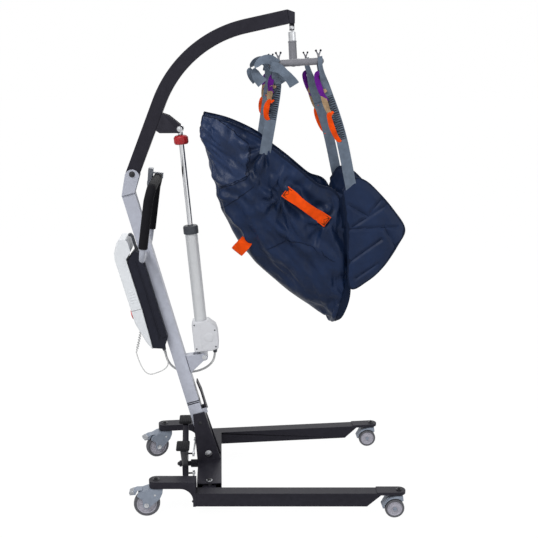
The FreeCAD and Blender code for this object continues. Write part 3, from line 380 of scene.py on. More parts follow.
def add_rod(shape, matrix, start, end, radius, sides=24, edge=0.0, end_radius=None):
    """A round rod or, with few sides, a nut or bolt head, between two local places; its rims are broken by edge."""
    start, end = Vector(start), Vector(end)
    length = (end - start).length
    made = bmesh.ops.create_cone(shape, cap_ends=True, segments=sides, radius1=radius,
                                 radius2=radius if end_radius is None else end_radius, depth=length)["verts"]
    if edge:
        rims = [e for e in {e for v in made for e in v.link_edges}
                if abs(e.verts[0].co.z - e.verts[1].co.z) < 1e-6]
        cut = bmesh.ops.bevel(shape, geom=rims, offset=edge, offset_type="OFFSET", segments=2, profile=0.5,
                              affect="EDGES", material=-1, clamp_overlap=True)
        made = list({v for f in cut["faces"] for v in f.verts} | {v for v in made if v.is_valid})
    turn = (end - start).to_track_quat("Z", "Y").to_matrix().to_4x4()
    moved(shape, made, matrix @ Matrix.Translation((start + end) / 2) @ turn)
    return made


def add_turned(shape, matrix, profile, steps=40):
    """A turned form: a profile of radius and height spun about the local Z axis; it may be open at the axis."""
    verts = [shape.verts.new((r, 0, z)) for r, z in profile]
    edges = [shape.edges.new(pair) for pair in zip(verts, verts[1:])]
    bmesh.ops.spin(shape, geom=verts + edges, cent=(0, 0, 0), axis=(0, 0, 1), angle=math.tau, steps=steps,
                   use_merge=True, use_duplicate=False)
    made = connected(verts[0] if verts[0].is_valid else shape.verts[-1])
    bmesh.ops.remove_doubles(shape, verts=made, dist=1e-4)
    made = [v for v in made if v.is_valid]
    faces = list({f for v in made for f in v.link_faces})
    bmesh.ops.recalc_face_normals(shape, faces=faces)
    moved(shape, made, matrix)
    return made


def connected(seed):
    seen, todo = {seed}, [seed]
    while todo:
        for edge in todo.pop().link_edges:
            for vert in edge.verts:
                if vert not in seen:
                    seen.add(vert)
                    todo.append(vert)
    return list(seen)


def hex_bolt(shape, matrix, head, out, size=6.0, washer=True):
    """A hexagon head on a washer, facing out from a local place."""
    head, out = Vector(head), Vector(out).normalized()
    if washer:
        add_rod(shape, matrix, head, head + out * size * 0.18, size * 1.25, 28, size * 0.06)
    add_rod(shape, matrix, head + out * size * 0.18, head + out * size * 0.8, size * 0.95, 6, size * 0.08)
    add_rod(shape, matrix, head + out * size * 0.8, head + out * size * 1.05, size * 0.5, 20, size * 0.08)


def curve_points(points, count):
    """Points spread evenly along a smooth line through the given ones."""
    points = [Vector(p) for p in points]
    ends = [points[0] * 2 - points[1]] + points + [points[-1] * 2 - points[-2]]
    dense = []
    for a, b, c, d in zip(ends, ends[1:], ends[2:], ends[3:]):
        for k in range(16):
            t = k / 16
            dense.append(0.5 * ((2 * b) + (c - a) * t + (2 * a - 5 * b + 4 * c - d) * t * t
                                + (3 * b - a - 3 * c + d) * t ** 3))
    dense.append(points[-1])
    lengths = [0.0]
    for p, q in zip(dense, dense[1:]):
        lengths.append(lengths[-1] + (q - p).length)
    out, j = [], 0
    for k in range(count):
        want = lengths[-1] * k / (count - 1)
        while j < len(dense) - 2 and lengths[j + 1] < want:
            j += 1
        span = lengths[j + 1] - lengths[j]
        out.append(dense[j].lerp(dense[j + 1], (want - lengths[j]) / span if span else 0))
    return out


def between(values, part):
    """A value at part, 0 to 1, of an evenly spaced list of numbers."""
    spot = part * (len(values) - 1)
    i = min(int(spot), len(values) - 2)
    return values[i] + (values[i + 1] - values[i]) * (spot - i)


def add_band(shape, route, across, widths, thick, count=40, crown=0.25):
    """Flat webbing along a route: across gives its width's direction along the way, widths its width."""
    spine = curve_points(route, count)
    sides = [Vector(v) for v in across]
    layer_u = shape.verts.layers.float.get("u") or shape.verts.layers.float.new("u")
    layer_v = shape.verts.layers.float.get("v") or shape.verts.layers.float.new("v")
    section = ((-0.5, -0.35), (-0.25, -0.5), (0.25, -0.5), (0.5, -0.35), (0.5, 0.35), (0.25, 0.5), (-0.25, 0.5),
               (-0.5, 0.35))
    ring, run, made = None, 0.0, []
    for k, spot in enumerate(spine):
        part = k / (count - 1)
        ahead = (spine[min(k + 1, count - 1)] - spine[max(k - 1, 0)]).normalized()
        j = min(int(part * (len(sides) - 1)), len(sides) - 2) if len(sides) > 1 else 0
        wide = sides[0] if len(sides) == 1 else sides[j].lerp(sides[j + 1], part * (len(sides) - 1) - j)
        wide = (wide - ahead * wide.dot(ahead)).normalized()
        over = ahead.cross(wide)
        width = between(widths, part)
        if k:
            run += (spot - spine[k - 1]).length
        if ring is None:
            ring = [shape.verts.new(spot) for _ in section]
            edges = [shape.edges.new((ring[i], ring[(i + 1) % len(ring)])) for i in range(len(ring))]
            made.append(shape.faces.new(ring))
            shape.faces.remove(made.pop())
            first = ring
        else:
            grown = bmesh.ops.extrude_edge_only(shape, edges=edges)["geom"]
            new = [g for g in grown if isinstance(g, bmesh.types.BMVert)]
            order = {}
            for vert in new:
                for edge in vert.link_edges:
                    other = edge.other_vert(vert)
                    if other in ring:
                        order[vert] = ring.index(other)
            ring = sorted(new, key=lambda v: order[v])
            edges = [shape.edges.get((ring[i], ring[(i + 1) % len(ring)])) for i in range(len(ring))]
        for vert, (a, b) in zip(ring, section):
            vert.co = spot + wide * (a * width) + over * (b * thick * (1 + crown * (1 - abs(a) * 2)))
            vert[layer_u] = a * width
            vert[layer_v] = run
    bmesh.ops.contextual_create(shape, geom=[e for e in shape.edges if e.is_boundary and e.verts[0] in first])
    bmesh.ops.contextual_create(shape, geom=[e for e in edges if e.is_boundary])
    return spine


def close_rings(shape, rings):
    """Faces from each ring of vertices to the next, and from the last to the first."""
    for one, two in zip(rings, rings[1:] + rings[:1]):
        for i in range(len(one)):
            j = (i + 1) % len(one)
            shape.faces.new((one[i], one[j], two[j], two[i]))


def band_uv(shape):
    """Lays the bands' own width and length out as a UV map, in metres."""
    uv = shape.loops.layers.uv.new("webbing")
    layer_u, layer_v = shape.verts.layers.float["u"], shape.verts.layers.float["v"]
    for face in shape.faces:
        for loop in face.loops:
            loop[uv].uv = (loop.vert[layer_u], loop.vert[layer_v])
    bmesh.ops.recalc_face_normals(shape, faces=shape.faces[:])


def thread_line(shape, points, radius=0.45 * MM, sides=5):
    """A stitched thread along a row of places."""
    for a, b in zip(points, points[1:]):
        if (b - a).length > 1e-5:
            add_rod(shape, Matrix.Identity(4), a, b, radius, sides)


def shaped_grid(across, along, flat, place):
    """A grid whose points are set by place(u, v), both 0 to 1, with a UV map of its flat size in metres."""
    shape = bmesh.new()
    uv = shape.loops.layers.uv.new("cloth")
    bmesh.ops.create_grid(shape, x_segments=across, y_segments=along, size=0.5, calc_uvs=True)
    for face in shape.faces:
        for loop in face.loops:
            loop[uv].uv = ((loop.vert.co.x + 0.5) * flat[0], (loop.vert.co.y + 0.5) * flat[1])
    for vert in shape.verts:
        vert.co = place(vert.co.x + 0.5, vert.co.y + 0.5)
    return shape


# ---------------------------------------------------------------- stage and camera

def background_rays(tree, rays):
    """One where the background shows: to the camera, in gloss and through glass."""
    seen = tree.nodes.new("ShaderNodeMath")
    seen.operation = "MAXIMUM"
    tree.links.new(rays.outputs["Is Camera Ray"], seen.inputs[0])
    tree.links.new(rays.outputs["Is Glossy Ray"], seen.inputs[1])
    through = tree.nodes.new("ShaderNodeMath")
    through.operation = "MAXIMUM"
    tree.links.new(seen.outputs["Value"], through.inputs[0])
    tree.links.new(rays.outputs["Is Transmission Ray"], through.inputs[1])
    return through


class HOIST_OT_stage(bpy.types.Operator):
    """Sets the pale floor, the soft studio lamps and the camera"""
    bl_idname = "hoist.stage"
    bl_label = "Stage and Camera"

    def execute(self, context):
        scene = context.scene
        scene.view_settings.view_transform = "Standard"
        view = bpy.data.cameras.new("hoist_camera")
        view.lens = 56.4
        view.sensor_width = 36
        view.clip_end = 60
        camera = bpy.data.objects.new("hoist_camera", view)
        scene.collection.objects.link(camera)
        yaw, pitch = math.radians(3.2), math.radians(13.56)
        camera.location = at(69, -3203, 1673)
        camera.rotation_euler = (math.pi / 2 - pitch, 0, -yaw)
        scene.camera = camera

        for name, spot, aim, power, size in (
                ("key_lamp", (-1500, -2300, 3500), (100, 0, 900), 88, 1400),
                ("fill_lamp", (2300, -2300, 1500), (100, 0, 800), 22, 2400),
                ("back_lamp", (400, 2600, 2700), (100, 0, 900), 34, 2600)):
            lamp = bpy.data.lights.new(name, "AREA")
            lamp.energy = power
            lamp.size = size * MM
            item = bpy.data.objects.new(name, lamp)
            item.location = at(*spot)
            item.rotation_euler = (at(*aim) - at(*spot)).to_track_quat("-Z", "Y").to_euler()
            item.visible_camera = False
            scene.collection.objects.link(item)

        world = bpy.data.worlds.new("studio")
        scene.world = world
        world.use_nodes = True
        tree = world.node_tree
        tree.nodes.clear()
        out = tree.nodes.new("ShaderNodeOutputWorld")
        ambient = tree.nodes.new("ShaderNodeBackground")
        ambient.inputs["Color"].default_value = (0.93, 0.95, 1.0, 1)
        ambient.inputs["Strength"].default_value = 0.42
        pale = tree.nodes.new("ShaderNodeBackground")
        pale.inputs["Color"].default_value = (1, 1, 1, 1)
        pale.inputs["Strength"].default_value = 1.0
        rays = tree.nodes.new("ShaderNodeLightPath")
        mix = tree.nodes.new("ShaderNodeMixShader")
        tree.links.new(background_rays(tree, rays).outputs["Value"], mix.inputs["Fac"])
        tree.links.new(ambient.outputs["Background"], mix.inputs[1])
        tree.links.new(pale.outputs["Background"], mix.inputs[2])
        tree.links.new(mix.outputs["Shader"], out.inputs["Surface"])

        shape = bmesh.new()
        bmesh.ops.create_grid(shape, x_segments=1, y_segments=1, size=40.0)
        mesh = bpy.data.meshes.new("floor")
        shape.to_mesh(mesh)
        shape.free()
        floor = bpy.data.objects.new("floor", mesh)
        scene.collection.objects.link(floor)
        mat = bpy.data.materials.new("pale_floor")
        mat.use_nodes = True
        tree = mat.node_tree
        shader = tree.nodes["Principled BSDF"]
        shader.inputs["Base Color"].default_value = (0.72, 0.72, 0.72, 1)
        shader.inputs["Roughness"].default_value = 0.8
        glow = tree.nodes.new("ShaderNodeEmission")
        glow.inputs["Strength"].default_value = 1.05
        rays = tree.nodes.new("ShaderNodeLightPath")
        share = tree.nodes.new("ShaderNodeMath")
        share.operation = "MULTIPLY"
        share.inputs[1].default_value = 0.93
        mix = tree.nodes.new("ShaderNodeMixShader")
        background = background_rays(tree, rays)
        tree.links.new(background.outputs["Value"], share.inputs[0])
        tree.links.new(share.outputs["Value"], mix.inputs["Fac"])
        tree.links.new(shader.outputs["BSDF"], mix.inputs[1])
        tree.links.new(glow.outputs["Emission"], mix.inputs[2])
        tree.links.new(mix.outputs["Shader"], tree.nodes["Material Output"].inputs["Surface"])
        mesh.materials.append(mat)
        return {"FINISHED"}


# ---------------------------------------------------------------- cords

ACTUATOR_CABLE = [(32.5, 12, 565.6), (31, 13, 533), (12, 20, 500), (-25, 32, 474), (-70, 42, 462), (-112, 38, 470),
                  (-145, 26, 497), (-162, 16, 532), (-166, 14, 563), (-172.5, 14, 587)]
HANDSET_LEAD = [(-172.5, -14, 587), (-166.3, -14, 563), (-156, -12, 537), (-154, -7, 511), (-172, 1, 490),
                (-200, 11, 475), (-228, 23, 461), (-251, 38, 466), (-267, 50, 489), (-279, 59, 514), (-288, 66, 540)]
HANDSET_COIL = [(-287.5, 66.5, 542), (-281, 74, 567), (-273, 85, 602), (-266, 94, 645), (-262, 100, 705),
                (-265, 105, 780), (-263, 108, 860), (-259, 109, 940), (-255, 110, 1010), (-244, 110, 1066),
                (-224.8, 110, 1113)]
TURN_POINTS = 12


def smooth_line(name, points, radius=0.0, steps=6):
    """A smooth NURBS line through the pull of its control points."""
    line = bpy.data.curves.new(name, "CURVE")
    line.dimensions = "3D"
    line.resolution_u = steps
    spline = line.splines.new("NURBS")
    spline.points.add(len(points) - 1)
    for knot, spot in zip(spline.points, points):
        knot.co = (*spot, 1)
    spline.order_u = 3
    spline.use_endpoint_u = True
    line.bevel_depth = radius
    line.bevel_resolution = 3
    line.use_fill_caps = True
    item = bpy.data.objects.new(name, line)
    bpy.context.scene.collection.objects.link(item)
    return item


def followed(points):
    """The places along the smooth line of a route."""
    guide = smooth_line("guide", points, steps=10)
    mesh = bpy.data.meshes.new_from_object(guide)
    places = [v.co.copy() for v in mesh.vertices]
    bpy.data.meshes.remove(mesh)
    line = guide.data
    bpy.data.objects.remove(guide)
    bpy.data.curves.remove(line)
    return places


def curled(spine, turns, radius):
    """A helix about a smooth line, given as a curly cord's control points."""
    even = curve_points(spine, turns * TURN_POINTS + 1)
    helix = []
    lift = Vector((0, 1, 0))
    for k, spot in enumerate(even):
        ahead = (even[min(k + 1, len(even) - 1)] - even[max(k - 1, 0)]).normalized()
        lift = (lift - ahead * lift.dot(ahead)).normalized()
        side = ahead.cross(lift)
        angle = math.tau * k / TURN_POINTS
        grow = min(1.0, k / TURN_POINTS / 2, (len(even) - 1 - k) / TURN_POINTS / 2)
        helix.append(spot + (lift * math.cos(angle) + side * math.sin(angle)) * radius * grow)
    return helix


class HOIST_OT_cords(bpy.types.Operator):
    """Runs the actuator's cable and the handset's lead with its curly stretch"""
    bl_idname = "hoist.cords"
    bl_label = "Cords"

    def execute(self, context):
        cable = smooth_line("actuator_cable_jacket", [at(*p) for p in ACTUATOR_CABLE], 4.6 * MM)
        cable.data.materials.append(cable_rubber())
        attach(cable, "mast")
        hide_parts("actuator_cable")

        lead = [at(*p) for p in HANDSET_LEAD]
        coil = curled(followed([at(*p) for p in HANDSET_COIL]), context.scene.hoist_sizes.coil_turns, 3.9 * MM)
        curly = smooth_line("handset_curly_lead", lead[:-1] + coil[1:], 2.3 * MM, steps=2)
        curly.data.materials.append(cable_rubber())
        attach(curly, "mast")
        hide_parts("handset_lead", "handset_coil")

        shape = bmesh.new()
        sleeve = [(4.9, 0), (8.2, 0), (8.6, 3), (7.4, 6), (7.6, 7), (6.9, 9), (7.1, 10), (6.4, 12), (6.6, 13),
                  (5.9, 15), (6.0, 16), (5.3, 20), (4.9, 20)]
        for start, ahead, scale in ((ACTUATOR_CABLE[-1], ACTUATOR_CABLE[-2], 1.0),
                                    (HANDSET_LEAD[0], HANDSET_LEAD[1], 0.62)):
            origin = at(*start)
            way = (at(*ahead) - origin).to_track_quat("Z", "Y").to_matrix().to_4x4()
            lay = Matrix.Translation(origin) @ way @ Matrix.Scale(MM * scale, 4) @ Matrix.Translation((0, 0, -3))
            add_turned(shape, lay, sleeve)
        piece("cable_glands", shape, "mast", dark_grey_plastic())
        shape = bmesh.new()
        origin = at(*ACTUATOR_CABLE[0])
        way = (at(*ACTUATOR_CABLE[1]) - origin).to_track_quat("Z", "Y").to_matrix().to_4x4()
        lay = Matrix.Translation(origin) @ way @ Matrix.Scale(MM, 4) @ Matrix.Translation((0, 0, -9))
        add_turned(shape, lay, [(6.4, 0), (9.6, 0), (10, 3), (8.8, 7), (8.4, 12), (7.7, 17), (6.4, 17)])
        piece("actuator_gland", shape, "actuator", dark_grey_plastic())
        return {"FINISHED"}


# ---------------------------------------------------------------- painted frame

class HOIST_OT_frame(bpy.types.Operator):
    """Finishes the beam, legs, mast, boom and push handle, with their welds, plugs and bolts"""
    bl_idname = "hoist.frame"
    bl_label = "Painted Frame"

    def execute(self, context):
        corner = context.scene.hoist_sizes.tube_corner
        dark, pale = charcoal_paint(), mast_paint()
        for node in ("cross_beam", "boom_tube", "left_leg_tube", "right_leg_tube"):
            dress(node, dark, corner, 3)
        for node in ("boom_bracket", "boom_end_block", "mast_socket", "left_rear_arm", "right_rear_arm",
                     "left_front_plate", "right_front_plate", "pedal_rocker", "pedal_shaft"):
            dress(node, dark, 1.4 * MM)
        dress("mast_tube", pale, corner, 3)
        dress("mast_head", pale, 1.4 * MM)
        dress("actuator_bracket", pale, 1.0 * MM)
        dress("push_handle", pale, 0)
        dress("handle_grip", foam(), 3 * MM, 3)
        dress("foot_pads", foot_rubber(), 0)
        for node in ("leg_pivot_bolts", "left_tie_rod", "right_tie_rod", "hanger_swivel"):
            dress(node, zinc(), 0.6 * MM)
        self.base_details(dark)
        self.mast_details(pale)
        self.boom_details()
        return {"FINISHED"}

    def base_details(self, dark):
        world = placed((0, 0, 0))
        black_bolt = black_steel()
        shape = bmesh.new()
        for side in (1, -1):
            hex_bolt(shape, world, (LEG_PIVOT[0], side * LEG_PIVOT[1], 110), (0, 0, 1), 10)
            hex_bolt(shape, world, (LEG_PIVOT[0], side * LEG_PIVOT[1], 60), (0, 0, -1), 10)
            hex_bolt(shape, world, (-32, side * 32, 272), (0, side, 0), 6)
        hex_bolt(shape, world, (-120, 0, 80), (-1, 0, 0), 9)
        piece("socket_bolts", shape, "base", black_bolt)
        shape = bmesh.new()
        for side in (1, -1):
            hex_bolt(shape, world, (0, side * 32, 138), (0, side, 0), 11)
        piece("mast_foot_bolt", shape, "base", zinc(), replaces=("mast_pivot_bolt",))
        shape = bmesh.new()
        for side in (1, -1):
            for k in range(6):
                fwd = -119 + 8.4 * k
                add_rod(shape, world, (fwd, side * 96, 225), (fwd, side * 160, 225), 1.6, 10, 0.5)
        piece("pedal_treads", shape, "spreader_pedals", foot_rubber())
        for word, side in (("left", 1), ("right", -1)):
            leg = leg_place(side)
            out = side * LEG_OUT
            shape = bmesh.new()
            add_rod(shape, leg, (FRONT_STEM, out, 104), (FRONT_STEM, out, 107.2), 11, 30, 0.8)
            hex_bolt(shape, leg, (FRONT_STEM, out, 106.6), (0, 0, 1), 7)
            add_rod(shape, leg, (REAR_STEM, out, 147), (REAR_STEM, out, 149), 14, 30, 0.6)
            hex_bolt(shape, leg, (REAR_STEM, out, 148.6), (0, 0, 1), 8)
            hex_bolt(shape, leg, (-57, out - 14, 62), (-1, 0, 0), 5)
            hex_bolt(shape, leg, (-57, out + 14, 62), (-1, 0, 0), 5)
            piece(word + "_leg_bolts", shape, word + "_leg", black_bolt)
            shape = bmesh.new()
            for start, end in (((-47.2, out - 25, 47), (-47.2, out - 25, 100)),
                               ((-47.2, out + 25, 47), (-47.2, out + 25, 100)),
                               ((640, out - 24, 99.5), (640, out + 24, 99.5)),
                               ((652, out - 24, 91.6), (652, out + 24, 91.6))):
                add_rod(shape, leg, start, end, 2.0, 10, 0.8)
            piece(word + "_leg_welds", shape, word + "_leg", dark)

    def mast_details(self, pale):
        shape = bmesh.new()
        for z in (219, 226):
            add_block(shape, MAST, (0, 0, z + 3.5), (51.0, 51.0, 6.6), 2.4, 3)
        piece("mast_band", shape, "mast", black_plastic())
        shape = bmesh.new()
        for side in (1, -1):
            add_rod(shape, MAST, (-24, side * 25.2, 1098), (24, side * 25.2, 1098), 1.7, 10, 0.5)
            ring = placed((-228, side * 26, 978))
            add_rod(shape, ring, (0, 0, 0), (0, side * 5, 0), 14.5, 36, 2)
        for z in (350, 421):
            add_rod(shape, MAST, (25.2, -18, z), (25.2, 18, z), 1.7, 10, 0.5)
        piece("mast_welds", shape, "mast", pale)
        shape, pin = bmesh.new(), bmesh.new()
        world = placed((0, 0, 0))
        for side in (1, -1):
            hex_bolt(shape, world, (-267, side * 31, 1278), (0, side, 0), 9)
            hex_bolt(pin, world, (-10, side * 19, 546), (0, side, 0), 8)
        piece("actuator_pin_bolts", pin, "mast", zinc(), replaces=("actuator_pin",))
        piece("mast_bolts", shape, "mast",
              black_steel(), replaces=("boom_pivot_pin",))
        dress("mast_latch", charcoal_paint(), 0.8 * MM)

    def boom_details(self):
        world = placed((0, 0, 0))
        shape = bmesh.new()
        for side in (1, -1):
            hex_bolt(shape, world, (-86, side * 25, 1444), (0, side, 0), 8)
            hex_bolt(shape, world, (331, side * 15, 1808), (0, side, 0), 5.5)
        piece("boom_bolts", shape, "boom", zinc())


# ---------------------------------------------------------------- castors

class HOIST_OT_castors(bpy.types.Operator):
    """Finishes the four castors, with hub webs, caps, tread grooves and axle nuts"""
    bl_idname = "hoist.castors"
    bl_label = "Castors"

    def execute(self, context):
        for word, side in (("left", 1), ("right", -1)):
            leg = leg_place(side)
            rear = leg @ Matrix.Translation((REAR_STEM, side * LEG_OUT, 0))
            front = leg @ Matrix.Translation((FRONT_STEM, side * LEG_OUT, 0))
            heading = LEFT_REAR_HEADING if side > 0 else 0
            rear = rear @ Matrix.Rotation(math.radians(heading - side * LEG_SPLAY), 4, "Z")
            front = front @ Matrix.Rotation(math.radians(-side * LEG_SPLAY), 4, "Z")
            self.rear_castor(word + "_rear", rear)
            self.front_castor(word + "_front", front)
        return {"FINISHED"}

    def rear_castor(self, word, lay):
        dress(word + "_housing", castor_plastic(), 1.8 * MM, 3)
        dress(word + "_brake_pedal", castor_plastic(), 0.8 * MM)
        dress(word + "_hub", hub_plastic(), 0.6 * MM)
        axle = lay @ Matrix.Translation((-37, 0, 50)) @ Matrix.Rotation(math.radians(-90), 4, "X")
        shape = bmesh.new()
        add_turned(shape, axle, [(38, -13), (43, -15), (47.4, -14), (49.3, -10), (49.95, -3), (49.2, -1.8),
                                 (49.2, 1.8), (49.95, 3), (49.3, 10), (47.4, 14), (43, 15), (38, 13), (38, -13)], 64)
        piece(word + "_tread", shape, word + "_wheel", tyre_rubber(), replaces=(word + "_tyre",))
        shape = bmesh.new()
        for face in (1, -1):
            for k in range(6):
                spin = axle @ Matrix.Rotation(math.tau * k / 6, 4, "Z")
                add_block(shape, spin, (23, 0, face * 10), (20, 3.2, 3.4), 1.0)
            add_turned(shape, axle, [(33, face * 8), (33.4, face * 11.6), (35.4, face * 12.8), (37.6, face * 13.2),
                                     (37.8, face * 9)], 56)
        piece(word + "_hub_webs", shape, word + "_wheel", hub_plastic())
        shape = bmesh.new()
        for face in (1, -1):
            hex_bolt(shape, lay, (-37, face * 23.2, 50), (0, face, 0), 7.5)
            add_rod(shape, lay, (-4, face * 22.6, 92), (-4, face * 24, 92), 4, 20, 0.6)
        piece(word + "_axle_nuts", shape, word + "_castor", zinc())
        shape = bmesh.new()
        tip = lay @ Matrix.Translation((-90, 0, 100)) @ Matrix.Rotation(math.radians(-24), 4, "Y")
        add_block(shape, tip, (-2, 0, 0), (19, 35.4, 12), 2.2, 3)
        for k in range(4):
            add_rod(shape, tip, (-9 + 4.5 * k, -14, 6.2), (-9 + 4.5 * k, 14, 6.2), 0.9, 8)
        piece(word + "_pedal_tip", shape, word + "_brake",
              finish("pedal_plate", (0.30, 0.31, 0.33), 0.38, metallic=0.8, spread=0.1, grain=0.08, wear=0.8))

    def front_castor(self, word, lay):
        dress(word + "_fork", castor_plastic(), 1.4 * MM, 3)
        axle = lay @ Matrix.Translation((-18, 0, 37.5)) @ Matrix.Rotation(math.radians(-90), 4, "X")
        tread, hubs = bmesh.new(), bmesh.new()
        for hand in (1, -1):
            mid = hand * 16.5
            for shape, profile in (
                    (tread, [(29, -9), (33.5, -10.5), (36.2, -9), (37.2, -5), (37.5, 0), (37.2, 5), (36.2, 9),
                             (33.5, 10.5), (29, 9), (29, -9)]),
                    (hubs, [(4.2, -7), (11, -7), (13, -4.5), (25, -4.5), (27.4, -7.8), (29, -8), (29, 8), (27.4, 7.8),
                            (25, 4.5), (13, 4.5), (11, 7), (4.2, 7), (4.2, -7)])):
                add_turned(shape, axle @ Matrix.Translation((0, 0, mid)), profile, 56)
            for k in range(5):
                spin = axle @ Matrix.Rotation(math.tau * k / 5, 4, "Z")
                add_block(hubs, spin, (19, 0, mid + hand * 4.2), (14, 3, 3), 0.8)
        piece(word + "_treads", tread, word + "_wheel", tyre_rubber(), replaces=(word + "_tyres",))
        piece(word + "_hub_webs", hubs, word + "_wheel", hub_plastic(), replaces=(word + "_hubs",))
        shape = bmesh.new()
        for face in (1, -1):
            add_rod(shape, lay, (-18, face * 25.4, 37.5), (-18, face * 28.2, 37.5), 7.5, 24, 1.0)
        piece(word + "_axle_caps", shape, word + "_castor", castor_plastic())


# ---------------------------------------------------------------- controls, handset, actuator and hanger

class HOIST_OT_controls(bpy.types.Operator):
    """Finishes the control unit, battery, stop button and handset"""
    bl_idname = "hoist.controls"
    bl_label = "Controls"

    def execute(self, context):
        dress("control_bracket", black_plastic(), 2.0 * MM, 3)
        dress("control_unit", white_plastic(), 1.6 * MM, 3)
        dress("battery_pack", white_plastic(), 2.2 * MM, 3)
        dress("battery_latch", dark_grey_plastic(), 0.8 * MM)
        dress("stop_button", red_plastic(), 1.6 * MM, 3)
        dress("handset", finish("handset_moulding", (0.27, 0.29, 0.33), 0.45, spread=0.04, grain=0.1), 2.0 * MM, 3)
        pale = finish("button_moulding", (0.50, 0.53, 0.57), 0.35, spread=0.03, grain=0.06)
        for word in ("up", "down"):
            dress("handset_button_" + word, pale, 0.5 * MM)
        shape = bmesh.new()
        add_turned(shape, MAST @ Matrix.Translation((-118.4, 0, 640)) @ Matrix.Rotation(math.radians(-90), 4, "Y"),
                   [(20.6, -1), (23.4, 0.2), (23.8, 2.2), (22.6, 3.0), (20.2, 3.0), (19.8, 0)], 48)
        add_block(shape, MAST, (-118.2, 34, 628), (2.0, 26, 13), 0.9)
        piece("control_panel_trim", shape, "mast", black_plastic())
        shape = bmesh.new()
        for side in (1, -1):
            add_block(shape, MAST, (-27, side * 58.2, 692), (20, 5.6, 318), 1.8)
            add_block(shape, MAST, (-46, side * 57.2, 690), (3.2, 3.6, 326), 1.0)
            for z in (560, 690, 820):
                add_rod(shape, MAST, (-27, side * 60.2, z), (-27, side * 62.2, z), 4.2, 20, 0.6)
        piece("bracket_rails", shape, "mast", black_plastic())
        shape = bmesh.new()
        for k in range(7):
            add_block(shape, MAST, (-118.3, 0, 760 + 9 * k), (1.8, 74 - abs(k - 3) * 5, 3.2), 0.8)
        for side in (1, -1):
            for k in range(5):
                add_block(shape, MAST, (-96, side * 65.2, 700 + 11 * k), (22, 1.8, 4.2), 0.8)
        piece("battery_grip_ribs", shape, "battery", white_plastic())
        shape = bmesh.new()
        for y in (-18, 0, 18):
            add_rod(shape, MAST, (-118.6, 34 + y * 0.4, 628), (-119.8, 34 + y * 0.4, 628), 2.2, 18, 0.5)
        piece("charge_lamps", shape, "mast",
              finish("lamp_lens", (0.10, 0.42, 0.13), 0.2, spread=0.02, grain=0.02, coat=0.4))
        shape = bmesh.new()
        for y, z in ((40, 545), (-40, 545), (52, 652), (-52, 652)):
            screw = (-118 if z > 616 else -118 + (616 - z) * 19 / 83, y, z)
            add_rod(shape, MAST, (screw[0] + 0.4, y, z), (screw[0] - 1.0, y, z), 3.4, 20, 0.5)
        piece("control_screws", shape, "mast", zinc())
        shape = bmesh.new()
        for word, high in (("up", -22), ("down", -52)):
            face = HANDSET @ Matrix.Translation((-9.2, 0, high)) @ Matrix.Rotation(math.radians(-90), 4, "Y")
            add_turned(shape, face,
                       [(8.6, -0.6), (11.2, 0), (11.0, 1.4), (9.0, 1.5), (8.5, 0)], 36)
        for k in range(6):
            add_block(shape, HANDSET, (-9.4, 0, -80 - 6 * k), (1.6, 30, 2.4), 0.6)
        add_block(shape, HANDSET, (0, 0, -40), (18.8, 49.2, 1.2), 0.4)
        piece("handset_trim", shape, "mast", black_plastic())
        return {"FINISHED"}


class HOIST_OT_actuator(bpy.types.Operator):
    """Finishes the motor housing, tube, rod and collar of the lifting actuator"""
    bl_idname = "hoist.actuator"
    bl_label = "Actuator"

    def execute(self, context):
        white = finish("actuator_moulding", (0.63, 0.635, 0.66), 0.4, spread=0.03, grain=0.15, grain_scale=1500)
        dress("motor_housing", white, 2.4 * MM, 3)
        dress("actuator_tube", finish("actuator_tube_paint", (0.62, 0.63, 0.64), 0.33, spread=0.03, grain=0.06),
              1.2 * MM)
        dress("piston_rod", chrome(), 0.6 * MM)
        dress("release_collar", collar_red(), 1.2 * MM)
        shape = bmesh.new()
        add_turned(shape, ACTUATOR, [(24.2, 500), (28.5, 501), (28.9, 504), (28.9, 526), (27, 531), (24.3, 532.5),
                                     (13, 532.5), (11.2, 531)], 56)
        piece("actuator_ring", shape, "actuator", dark_grey_plastic())
        shape, screws = bmesh.new(), bmesh.new()
        for face in (1, -1):
            for x, z in ((-26, 42), (-26, 140), (50, 44), (52, 112)):
                add_rod(screws, ACTUATOR, (x, face * 30.8, z), (x, face * 31.6, z), 3.2, 20, 0.4)
            add_turned(shape, ACTUATOR @ Matrix.Translation((28, face * 30.6, 84)) @ Matrix.Rotation(
                math.radians(-90 * face), 4, "X"), [(0, 1.6), (16, 1.6), (19, 1.0), (20, 0)], 44)
            add_block(shape, ACTUATOR, (-4, face * 31.0, 90), (3, 1.2, 96), 0.4)
        piece("motor_housing_screws", screws, "actuator", dark_grey_plastic())
        piece("motor_housing_details", shape, "actuator", white)
        shape = bmesh.new()
        for k in range(18):
            spin = ACTUATOR @ Matrix.Rotation(math.tau * k / 18, 4, "Z")
            add_rod(shape, spin, (25.7, 0, 849), (25.7, 0, 870), 1.5, 10, 0.5)
        piece("collar_grip_ribs", shape, "collar", collar_red())
        return {"FINISHED"}


